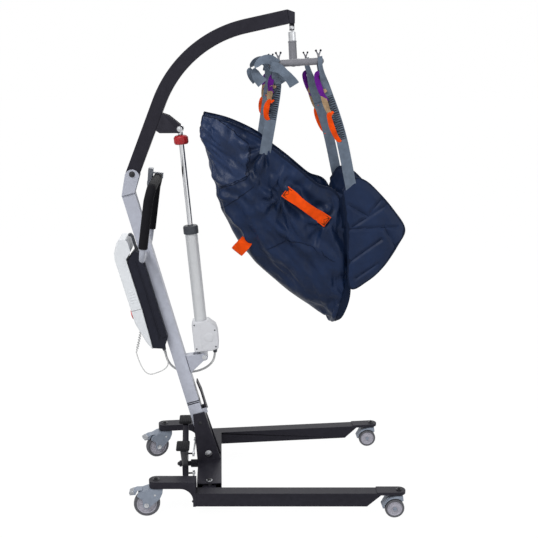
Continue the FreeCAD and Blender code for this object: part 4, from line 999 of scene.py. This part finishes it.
class HOIST_OT_hanger(bpy.types.Operator):
    """Finishes the spreader bar, its swivel and the dark tips of its hooks"""
    bl_idname = "hoist.hanger"
    bl_label = "Hanger"

    def execute(self, context):
        dress("spreader_bar", hanger_paint(), 0.9 * MM)
        shape = bmesh.new()
        for side in (1, -1):
            for end in (1, -1):
                for lean in (1, -1):
                    x = end * 69 + lean * 8.5
                    add_rod(shape, HANGER, (x - lean * 1.6, side * 225, -91.5), (x + lean * 0.8, side * 225, -85),
                            3.5, 16, 1.6)
        piece("hook_tips", shape, "hanger", black_plastic())
        shape = bmesh.new()
        add_turned(shape, HANGER, [(8.2, -46.4), (15, -46.2), (16.2, -48), (16.2, -50.5), (15.2, -52)], 40)
        for side in (1, -1):
            add_rod(shape, HANGER, (0, side * 14, -124), (0, side * 17.5, -124), 15.2, 40, 1.2)
        piece("spreader_welds", shape, "hanger", hanger_paint())
        return {"FINISHED"}


# ---------------------------------------------------------------- sling

SLING = [
    (-8, 1440, 4, 1500, 112), (4, 1345, 100, 1474, 140), (43, 1190, 205, 1424, 160), (102, 1062, 262, 1378, 168),
    (187, 955, 330, 1326, 172), (305, 838, 412, 1258, 172), (432, 742, 500, 1196, 168), (492, 692, 540, 905, 150),
]
SECTION = [(0.0, 0.0), (0.4, 0.03), (0.74, 0.15), (0.93, 0.38), (0.99, 0.66), (1.0, 1.0)]
INSET = 4.5
FLAP = [(506, 1232), (540, 1278), (588, 1268), (640, 1222), (694, 1160), (738, 1090), (712, 1028), (662, 946),
        (606, 893), (540, 868), (528, 1000), (520, 1130)]
FLAP_OUT = 186
QUILT = [((540, 1098), (660, 1176)), ((530, 1092), (706, 1098)), ((540, 972), (650, 1052)), ((560, 905), (640, 960)),
         ((530, 1180), (600, 1140)), ((600, 1140), (645, 1200)), ((660, 1100), (700, 1030))]
HEAD_SEAM = [(54, 1486), (110, 1448), (159, 1403), (168, 1375), (160, 1325), (149, 1283), (112, 1262), (60, 1238),
             (24, 1212)]
STRAPS = {
    "back": ((228, 167, 1388), (246, 188, 1500), (262, 206, 1610), 251),
    "leg": ((531, 193, 1262), (492, 203, 1430), (433, 211, 1600), 411),
}


def spline_at(rows, place):
    """A smooth value between evenly spaced rows of numbers, at place from 0 to the last row's index."""
    i = min(max(int(place), 0), len(rows) - 2)
    t = place - i
    a, b, c, d = (rows[min(max(i + k, 0), len(rows) - 1)] for k in (-1, 0, 1, 2))
    return [0.5 * (2 * q + (r - p) * t + (2 * p - 5 * q + 4 * r - s) * t * t + (3 * q - p - 3 * r + s) * t ** 3)
            for p, q, r, s in zip(a, b, c, d)]


def sling_point(u, v):
    """The middle of the sling's cloth: u runs from the left open edge under the seat to the right one, v from head
    to seat."""
    low_x, low_z, top_x, top_z, half = spline_at(SLING, v * (len(SLING) - 1))
    wide, rise = spline_at(SECTION, abs(2 * u - 1) * (len(SECTION) - 1))
    way = Vector((top_x - low_x, 0, top_z - low_z))
    lift = INSET / way.length
    rise = lift + rise * (1 - lift)
    side = 1 if u < 0.5 else -1
    return Vector((low_x + way.x * rise, side * wide * (half - INSET), low_z + way.z * rise))


def sling_normal(u, v):
    """Away from the inside of the sling."""
    step = 0.004
    across = sling_point(min(u + step, 1), v) - sling_point(max(u - step, 0), v)
    along = sling_point(u, min(v + step, 1)) - sling_point(u, max(v - step, 0))
    return along.cross(across).normalized()


def sling_side(x, z, side):
    """The cloth's u and v nearest to a place seen from the side."""
    best, found = None, (0.5, 0.5)
    lowest, highest, cuts = (0.5, 0.0), (1.0, 1.0), 24
    for _ in range(3):
        for i in range(cuts + 1):
            for j in range(cuts + 1):
                u = lowest[0] + (highest[0] - lowest[0]) * i / cuts
                v = lowest[1] + (highest[1] - lowest[1]) * j / cuts
                spot = sling_point(u, v)
                gap = (spot.x - x) ** 2 + (spot.z - z) ** 2
                if best is None or gap < best:
                    best, found = gap, (u, v)
        reach = ((highest[0] - lowest[0]) / cuts, (highest[1] - lowest[1]) / cuts)
        lowest = (max(0.5, found[0] - reach[0]), max(0.0, found[1] - reach[1]))
        highest = (min(1.0, found[0] + reach[0]), min(1.0, found[1] + reach[1]))
    return (found[0] if side < 0 else 1 - found[0], found[1])


def ridge(across, along, layer, crest):
    """Sharp crests, up to crest high, where smooth noise passes through zero."""
    return crest - abs(noise.noise(Vector((across, along, layer))))


def fold_depth(u, v):
    """How far the hanging cloth folds in or out, in millimetres: long slanting folds, tension lines and creases."""
    edge = min(1.0, min(u, 1 - u) / 0.06)
    ends = min(1.0, v / 0.05 + 0.25, (1 - v) / 0.06 + 0.25)
    spot = sling_point(u, v)
    run = spot.x * 0.70 - spot.z * 0.71
    aside = spot.x * 0.71 + spot.z * 0.70
    sway = noise.noise(Vector((run / 170, aside / 150, u * 3))) * 46
    long_folds = ridge((aside + sway) / 74, run / 270, u * 2 + 3.7, 0.24) * 44
    short_folds = ridge((aside - sway) / 34, run / 110, u * 2 + 8.1, 0.2) * 15
    creases = max(0.0, ridge((aside + run * 0.4) / 26, (run - aside * 0.3) / 60, 5.9, 0.14)) * 22
    pull = 0.0
    for x, z, reach in ((228, 1388, 150), (500, 1190, 190), (285, 1215, 90), (450, 1115, 90)):
        away = Vector((spot.x - x, spot.z - z))
        angle = math.atan2(away.y, away.x)
        pull += 7.5 * math.sin(angle * 9) * math.exp(-(away.length / reach) ** 2) * min(1.0, away.length / 30)
    flank = min(1.0, abs(2 * u - 1) / 0.4)
    return edge * ends * (long_folds + short_folds + creases) * (0.1 + 0.9 * flank * flank) + edge * pull * flank


def spread_middle(across, along):
    """The vertex in the middle of the bottom of the sling's back."""
    return (along // 3) * (across + 1) + across // 2


def rumple(item, pins, slack, frames=22, cap=14 * MM):
    """Lets the cloth buckle between its seams by simulation, and keeps the result within cap of where it was."""
    group = item.vertex_groups.new(name="held")
    group.add(pins, 1.0, "REPLACE")
    start = [v.co.copy() for v in item.data.vertices]
    cloth = item.modifiers.new("cloth", "CLOTH")
    set_up = cloth.settings
    set_up.vertex_group_mass = "held"
    set_up.quality = 5
    set_up.mass = 0.25
    set_up.tension_stiffness = 18
    set_up.compression_stiffness = 18
    set_up.shear_stiffness = 6
    set_up.bending_stiffness = 0.6
    set_up.shrink_min = -slack
    set_up.effector_weights.gravity = 0.25
    cloth.point_cache.frame_start = 1
    cloth.point_cache.frame_end = frames
    scene = bpy.context.scene
    for step in range(1, frames + 1):
        scene.frame_set(step)
    graph = bpy.context.evaluated_depsgraph_get()
    settled = item.evaluated_get(graph).data
    moves = [v.co - s for v, s in zip(settled.vertices, start)]
    item.modifiers.remove(cloth)
    scene.frame_set(1)
    for vert, base, move in zip(item.data.vertices, start, moves):
        if move.length > cap:
            move = move.normalized() * cap
        vert.co = base + move
    item.vertex_groups.clear()


class HOIST_OT_sling(bpy.types.Operator):
    """Hangs the sling's cloth, rumpled by simulation, with its hems, seams and side handles"""
    bl_idname = "hoist.sling"
    bl_label = "Sling"

    def execute(self, context):
        sizes = context.scene.hoist_sizes
        across, along = 116, 102
        shape = shaped_grid(across, along, (0.98, 1.02), lambda u, v: at(
            *(sling_point(u, v) + sling_normal(u, v) * 0.25 * fold_depth(u, v))))
        shape.verts.ensure_lookup_table()
        spread = [(k % (across + 1) / across, k // (across + 1) / along) for k in range(len(shape.verts))]
        deep = [fold_depth(u, v) * MM for u, v in spread]
        hem = [f.index for f in shape.faces if min(min(spread[v.index][0], 1 - spread[v.index][0]) * across
                                                   for v in f.verts) < 0.5]
        pins = [v.index for v in shape.verts if v.is_boundary]
        for x, z in ((228, 1388), (530, 1200), (304, 1226), (450, 1118)):
            for side in (1, -1):
                spot = at(*sling_point(*sling_side(x, z, side)))
                pins += [v.index for v in shape.verts if (v.co - spot).length < 0.02]
        flat_area = sum(f.calc_area() for f in shape.faces)
        seam = [at(x, 0, z) for x, z in HEAD_SEAM] + [at(-60, 0, 1180), at(-60, 0, 1540), at(30, 0, 1520)]
        for face in shape.faces:
            face.material_index = 1 if inside(face.calc_center_median(), seam) else 0
        shape.faces.ensure_lookup_table()
        for k in hem:
            shape.faces[k].material_index = 2
        light = finish("sling_nylon_light", tuple(c * 1.35 for c in coloured("navy")), 0.42, spread=0.2, scale=12,
                       grain=0.2, grain_scale=1500, sheen=0.08, ribs=(0.0022, "X"), gloss=0.25)
        cloth = piece("sling_cloth", shape, "hanger", [nylon(), light, binding_nylon()],
                      sharp=180, replaces=("sling_body",))
        rumple(cloth, sorted(set(pins)), sizes.slack)
        normals = [n.vector.copy() for n in cloth.data.vertex_normals]
        facing = 1 if normals[spread_middle(across, along)].x < 0 else -1
        for vert, normal, depth in zip(cloth.data.vertices, normals, deep):
            vert.co += normal * facing * depth
        flat_area = max(flat_area, sum(f.area for f in cloth.data.polygons))
        skin = cloth.modifiers.new("thickness", "SOLIDIFY")
        skin.thickness = sizes.cloth
        skin.offset = 0
        smooth = cloth.modifiers.new("smooth", "SUBSURF")
        smooth.levels = smooth.render_levels = 1
        hems = self.hems(cloth)
        threads = self.seams(cloth)
        self.handles()
        return {"FINISHED"}

    def hems(self, cloth):
        shape = bmesh.new()
        bm = bmesh.new()
        bm.from_mesh(cloth.data)
        rims = [e for e in bm.edges if e.is_boundary]
        loop = [rims[0].verts[0], rims[0].verts[1]]
        while True:
            ahead = [e for e in loop[-1].link_edges if e.is_boundary and e.other_vert(loop[-1]) is not loop[-2]][0]
            vert = ahead.other_vert(loop[-1])
            if vert is loop[0]:
                break
            loop.append(vert)
        radius = 2.4 * MM
        count = len(loop)
        inwards = []
        for vert in loop:
            inner = [e.other_vert(vert).co - vert.co for e in vert.link_edges if not e.is_boundary]
            inwards.append(inner[0].normalized() if inner else Vector())
        rings = []
        for k in range(count):
            near = [(k + j) % count for j in range(-5, 6)]
            spot = sum((loop[j].co for j in near[4:7]), Vector()) / 3
            way = (loop[near[8]].co - loop[near[2]].co).normalized()
            inward = sum((inwards[j] for j in near), Vector())
            inward = (inward - way * inward.dot(way)).normalized()
            over = way.cross(inward)
            rings.append([shape.verts.new(spot + inward * a * radius + over * b * radius) for a, b in (
                (-1, 0), (-0.7, 0.8), (0.3, 1.1), (1.6, 0.9), (1.6, -0.9), (0.3, -1.1), (-0.7, -0.8))])
        close_rings(shape, rings)
        bm.free()
        bmesh.ops.recalc_face_normals(shape, faces=shape.faces[:])
        return piece("sling_binding", shape, "hanger", binding_nylon(), sharp=60)

    def seams(self, cloth):
        shape = bmesh.new()
        tree = BVHTree.FromPolygons([v.co for v in cloth.data.vertices],
                                    [tuple(f.vertices) for f in cloth.data.polygons])
        for side in (1, -1):
            for route in (HEAD_SEAM, [(x + 5, z - 4) for x, z in HEAD_SEAM], [(60, 1149), (120, 1196), (185, 1247)],
                          [(236, 1008), (330, 1040), (420, 1010), (500, 960)]):
                spots = []
                for x, z in ((p.x, p.y) for p in curve_points([Vector((x, z, 0)) for x, z in route], 46)):
                    u, v = sling_side(x, z, side)
                    out = sling_normal(u, v)
                    hit = tree.find_nearest(at(*sling_point(u, v)))
                    spots.append(hit[0] + out * 1.5 * MM)
                thread_line(shape, spots, 1.0 * MM)
        return piece("sling_seams", shape, "hanger", thread("navy", (0.004, 0.007, 0.018)), sharp=60)

    def handles(self):
        """An orange carrying handle on each side, box-stitched at its ends, and a tab at the back."""
        band, stitches = bmesh.new(), bmesh.new()
        for side in (1, -1):
            ends = []
            for x, z in ((296, 1232), (330, 1207), (418, 1142), (452, 1117)):
                u, v = sling_side(x, z, side)
                ends.append((sling_point(u, v), sling_normal(u, v)))
            lifts = (14, 20, 20, 14)
            route = [at(*(p + n * lift)) for (p, n), lift in zip(ends, lifts)]
            middle = (ends[1][0] + ends[2][0]) / 2 + ends[1][1] * 34
            route = route[:2] + [at(*middle)] + route[2:]
            along = (route[-1] - route[0]).normalized()
            out = ends[0][1]
            wide = out.cross(along).normalized()
            add_band(band, route, [wide], [0.044, 0.043, 0.036, 0.035, 0.036, 0.043, 0.044], 3.6 * MM, 44)
            for base, far in ((route[0], along), (route[-1], -along)):
                box_stitch(stitches, base + far * 4 * MM + out * 3.6 * MM, far * 26 * MM, wide * 16 * MM)
        tab = [at(160, -108, 1038), at(148, -117, 1024), at(127, -110, 999), at(121, -102, 992), at(126, -94, 998),
               at(142, -97, 1016), at(150, -95, 1026)]
        add_band(band, tab, [Vector((0.76, 0, -0.64))], [0.047, 0.048, 0.048, 0.047], 3.0 * MM, 36)
        band_uv(band)
        piece("sling_handles", band, "hanger", webbing("orange", coloured("orange")), sharp=50)
        piece("handle_stitching", stitches, "hanger", thread("dark", (0.09, 0.03, 0.01)), sharp=60)


def box_stitch(shape, corner, along, wide):
    """A sewn box with a cross in it."""
    corners = [corner - wide, corner + along - wide, corner + along + wide, corner + wide]
    thread_line(shape, corners + corners[:1], 1.2 * MM)
    thread_line(shape, [corners[0], corners[2]], 1.2 * MM)
    thread_line(shape, [corners[1], corners[3]], 1.2 * MM)


def inside(spot, outline):
    """Whether a place seen from the side lies within an outline."""
    within = False
    for a, b in zip(outline, outline[1:] + outline[:1]):
        if (a.z > spot.z) != (b.z > spot.z) and spot.x < (b.x - a.x) * (spot.z - a.z) / (b.z - a.z) + a.x:
            within = not within
    return within


def from_line(spot, start, end):
    """How far a flat place is from a line between two others."""
    way = end - start
    t = max(0.0, min(1.0, (spot - start).dot(way) / way.length_squared))
    return (spot - start - way * t).length


def flap_bow(flat, side):
    """How far a leg flap bows outwards, in millimetres."""
    return 7 * math.sin((flat.y - 842) / 430 * math.pi) - 4 + 5 * noise.noise(
        Vector((flat.x / 120, flat.y / 120, side)))


class HOIST_OT_flaps(bpy.types.Operator):
    """Pads and quilts the sling's two leg flaps, binds their edges and joins them to the seat"""
    bl_idname = "hoist.flaps"
    bl_label = "Leg Flaps"

    def execute(self, context):
        outline = curve_points([Vector((x, z, 0)) for x, z in FLAP + FLAP[:1]], 221)[:-1]
        centre = Vector((622, 1068, 0))
        lines = [(Vector((*a, 0)), Vector((*b, 0))) for a, b in QUILT]
        rings = 46
        for word, side in (("left", 1), ("right", -1)):
            shape = bmesh.new()
            uv = shape.loops.layers.uv.new("cloth")
            faces = {}
            for face_side in (1, -1):
                grid = []
                for r in range(rings):
                    share = 1 - r / rings
                    row = []
                    for spot in outline:
                        flat = centre + (spot - centre) * share
                        sewn = min(from_line(flat, a, b) for a, b in lines)
                        rim = (spot - centre).length * (1 - share)
                        puff = 9.0 * min(1.0, (rim / 34)) ** 0.55 * (1 - 0.7 * math.exp(-(sewn / 7) ** 2))
                        puff += 1.4 * noise.noise(Vector((flat.x / 26, flat.y / 26, side * 3 + face_side)))
                        puff = max(0.9, puff) if r else 0.0
                        row.append((flat, FLAP_OUT + flap_bow(flat, side) + face_side * puff))
                    grid.append(row)
                faces[face_side] = grid
            rim_verts = [shape.verts.new(at(f.x, side * y, f.y)) for f, y in faces[1][0]]
            for face_side in (1, -1):
                before = rim_verts
                for row in faces[face_side][1:]:
                    here = [shape.verts.new(at(f.x, side * y, f.y)) for f, y in row]
                    for i in range(len(here)):
                        j = (i + 1) % len(here)
                        shape.faces.new((before[i], before[j], here[j], here[i]))
                    before = here
                tip = shape.verts.new(sum((v.co for v in before), Vector()) / len(before))
                for i in range(len(before)):
                    shape.faces.new((before[i], before[(i + 1) % len(before)], tip))
            for face in shape.faces:
                for loop in face.loops:
                    loop[uv].uv = (loop.vert.co.x, loop.vert.co.z)
            bmesh.ops.recalc_face_normals(shape, faces=shape.faces[:])
            replaced = ("sling_leg_flaps",) if side > 0 else ()
            pad = piece(word + "_leg_flap", shape, "hanger", nylon(), sharp=180, replaces=replaced)
            if side < 0:
                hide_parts("sling_leg_flaps")
            binding, stitches = bmesh.new(), bmesh.new()
            rim = [at(f.x, side * y, f.y) for f, y in faces[1][0]]
            self.bind(binding, rim)
            piece(word + "_flap_binding", binding, "hanger", binding_nylon(), sharp=60)
            for a, b in lines:
                for hand in (1, -1):
                    row = []
                    for k in range(15):
                        flat = a.lerp(b, k / 14)
                        out = FLAP_OUT + flap_bow(flat, side) + hand * 2.6
                        row.append(at(flat.x, side * out, flat.y))
                    thread_line(stitches, row, 0.8 * MM)
            piece(word + "_flap_quilting", stitches, "hanger", thread("navy", (0.004, 0.007, 0.018)),
                  sharp=60)
            self.join(word, side)
        return {"FINISHED"}

    def bind(self, shape, rim):
        count = len(rim)
        rings = []
        middle = sum(rim, Vector()) / count
        for k, spot in enumerate(rim):
            way = (rim[(k + 1) % count] - rim[k - 1]).normalized()
            inward = way.cross(SIDE)
            if inward.dot(middle - spot) < 0:
                inward.negate()
            ring = []
            for a, b in ((-1.6, 0), (-1.2, 2.4), (2, 3.2), (9, 3.9), (9, 2.4), (9, -2.4), (9, -3.9), (2, -3.2),
                         (-1.2, -2.4)):
                ring.append(shape.verts.new(spot + inward * a * MM + SIDE * b * MM))
            rings.append(ring)
        close_rings(shape, rings)
        bmesh.ops.recalc_face_normals(shape, faces=shape.faces[:])

    def join(self, word, side):
        """The cloth that runs from the seat's edge into the flap."""
        far = curve_points([Vector((514, FLAP_OUT, 1236)), Vector((525, FLAP_OUT, 1120)),
                            Vector((532, FLAP_OUT, 1000)),
                            Vector((542, FLAP_OUT, 880)), Vector((539, 172, 810)), Vector((520, 142, 742)),
                            Vector((500, 96, 712))], 61)
        near_line = curve_points([Vector((496, 1190, 0)), Vector((512, 1080, 0)), Vector((530, 960, 0)),
                                  Vector((538, 890, 0)), Vector((522, 806, 0)), Vector((507, 740, 0)),
                                  Vector((496, 705, 0))], 61)

        def place(a, b):
            spot = near_line[int(round(b * 60))]
            u, v = sling_side(spot.x, spot.y, -1)
            near = sling_point(u, min(v, 0.985))
            spot = Vector((near.x, abs(near.y), near.z)).lerp(far[int(round(b * 60))], a)
            sag = 4 * math.sin(math.pi * a) * (1 + noise.noise(Vector((a * 3, b * 14, side * 5.0))) * 1.5)
            return at(spot.x, side * (spot.y + sag), spot.z)

        shape = shaped_grid(8, 60, (0.06, 0.56), place)
        area = sum(f.calc_area() for f in shape.faces)
        cloth = piece(word + "_flap_join", shape, "hanger", binding_nylon(), sharp=180)
        skin = cloth.modifiers.new("thickness", "SOLIDIFY")
        skin.thickness = 2.4 * MM
        skin.offset = 0


class HOIST_OT_straps(bpy.types.Operator):
    """Loops the grey straps over the spreader's ends, with their coloured loops and dark stitching"""
    bl_idname = "hoist.straps"
    bl_label = "Straps"

    def execute(self, context):
        sizes = context.scene.hoist_sizes
        wide, thick = sizes.strap_width, sizes.webbing
        bands = {name: bmesh.new() for name in ("grey", "orange", "purple", "beige")}
        stitches = bmesh.new()
        for side in (1, -1):
            for word, (low, mid, high, arm) in STRAPS.items():
                low, mid, high = (Vector((x, side * y, z)) for x, y, z in (low, mid, high))
                top = 1684 + (arm - 331) * 0.0594
                over = [Vector((arm, side * 240, top - 14)), Vector((arm, side * 239, top + 5)),
                        Vector((arm, side * 225, top + 14.6)), Vector((arm, side * 211, top + 5)),
                        Vector((arm, side * 210, top - 14))]
                down = Vector((0, -side * 4.5, 0))
                route = [low + (low - mid).normalized() * 26, low, mid, high, high.lerp(over[0], 0.5)] + over
                route += [high.lerp(over[-1], 0.5) + down, high + down, high.lerp(mid, 0.4) + down]
                widths = [wide] * 8 + [wide * 0.96, wide * 0.8, wide * 0.55] + [wide * 0.4] * 3 + [
                    wide * 0.55, wide * 0.85, wide * 0.95, wide * 0.95]
                lean = Vector((1, 0, 0.12 if word == "back" else 0.3))
                spine = add_band(bands["grey"], [at(*p) for p in route], [lean], widths, thick, 130)
                self.sewn(stitches, spine, lean, side, wide)
                self.loops(bands, side, mid, high)
        for side in (1, -1):
            self.fold(bands["grey"], side)
        for name, shape in bands.items():
            band_uv(shape)
            base = coloured("grey_strap" if name == "grey" else name)
            replaced = ("sling_straps",) if name == "grey" else ()
            piece("straps_" + name, shape, "hanger", webbing(name, base), sharp=50, replaces=replaced)
        piece("strap_stitching", stitches, "hanger", thread("black", (0.01, 0.01, 0.014)), sharp=60)
        return {"FINISHED"}

    def sewn(self, shape, spine, lean, side, wide):
        """Zigzag rows across the strap's outer face."""
        for place in (62, 56, 50, 44, 38):
            spot = spine[place]
            way = (spine[place + 2] - spine[place - 2]).normalized()
            across = (lean - way * way.dot(lean)).normalized()
            out = across.cross(way)
            if out.y * side < 0:
                out.negate()
            half = wide * 0.42
            spot = spot + out * 2.0 * MM
            thread_line(shape, [spot + across * half * (1 if k % 2 else -1) + way * (k - 3) * 3.8 * MM
                                for k in range(7)], 0.8 * MM)
            for end in (-1, 1):
                thread_line(shape, [spot + across * half * a + way * end * 14.5 * MM for a in (-1, 1)], 0.8 * MM)

    def loops(self, bands, side, mid, high):
        """The three coloured loops along the strap's rear edge."""
        span = (high - mid)
        for name, start, end, out, lean in (("purple", 1.30, 0.72, 8, 5), ("beige", 0.94, 0.42, 4, 2),
                                            ("orange", 0.50, -0.12, 9, 6)):
            a, b = mid + span * start, mid + span * end
            edge = Vector((-15, side * 2, 0))
            bulge = Vector((-out * 0.8, side * (1 + lean), 0))
            route = [a + edge * 0.3 + Vector((4, side * 2, 2)), a.lerp(b, 0.10) + edge + bulge * 0.4,
                     a.lerp(b, 0.42) + edge + bulge, a.lerp(b, 0.8) + edge + bulge * 0.5, b + edge * 0.6]
            twist = [Vector((x, side * y, z)) for x, y, z in (
                (0.97, 0.25, 0.25), (0.9, -0.45, 0.1), (0.97, 0.2, 0), (0.92, -0.35, 0.1), (0.97, 0.25, 0))]
            add_band(bands[name], [at(*p) for p in route], twist, [0.015, 0.019, 0.020, 0.018, 0.014], 2.4 * MM, 34)

    def fold(self, shape, side):
        """The spare webbing folded over at the rear hook."""
        for route, twist in (
                ([(262, 240, 1676), (236, 247, 1694), (206, 250, 1688), (186, 250, 1664), (192, 249, 1638),
                  (212, 246, 1614)],
                 [Vector((0.5, 0, 0.86)), Vector((0.1, side * -0.6, 0.8)), Vector((0.9, 0, 0.3))]),
                ([(240, 247, 1672), (268, 250, 1664), (292, 251, 1644), (312, 249, 1622), (322, 247, 1608)],
                 [Vector((0.4, side * 0.4, 0.85)), Vector((0.6, side * -0.3, 0.75)),
                  Vector((0.75, side * 0.3, 0.6))])):
            places = [at(x, side * y, z) for x, y, z in route]
            add_band(shape, places, twist, [0.036, 0.032, 0.03, 0.033, 0.038], 2.6 * MM, 36)


# ---------------------------------------------------------------- add-on

class HOIST_PT_panel(bpy.types.Panel):
    """The hoist's settings and pieces"""
    bl_idname = "HOIST_PT_panel"
    bl_label = "Patient Lift Hoist"
    bl_space_type = "VIEW_3D"
    bl_region_type = "UI"
    bl_category = "Hoist"

    def draw(self, context):
        layout = self.layout
        for settings in (context.scene.hoist_sizes, context.scene.hoist_colours):
            column = layout.column(align=True)
            for name in settings.__annotations__:
                column.prop(settings, name)
        for operator in OPERATORS:
            layout.operator(operator.bl_idname)


OPERATORS = (HOIST_OT_stage, HOIST_OT_cords, HOIST_OT_frame, HOIST_OT_castors, HOIST_OT_controls, HOIST_OT_actuator,
             HOIST_OT_hanger, HOIST_OT_sling, HOIST_OT_flaps, HOIST_OT_straps)
CLASSES = (HoistSizes, HoistColours, *OPERATORS, HOIST_PT_panel)


def register():
    for item in CLASSES:
        bpy.utils.register_class(item)
    bpy.types.Scene.hoist_sizes = PointerProperty(type=HoistSizes)
    bpy.types.Scene.hoist_colours = PointerProperty(type=HoistColours)


def unregister():
    del bpy.types.Scene.hoist_colours
    del bpy.types.Scene.hoist_sizes
    for item in reversed(CLASSES):
        bpy.utils.unregister_class(item)


def main():
    register()
    bpy.ops.hoist.stage()
    bpy.ops.hoist.cords()
    bpy.ops.hoist.frame()
    bpy.ops.hoist.castors()
    bpy.ops.hoist.controls()
    bpy.ops.hoist.actuator()
    bpy.ops.hoist.hanger()
    bpy.ops.hoist.sling()
    bpy.ops.hoist.flaps()
    bpy.ops.hoist.straps()


if __name__ == "__main__":
    main()
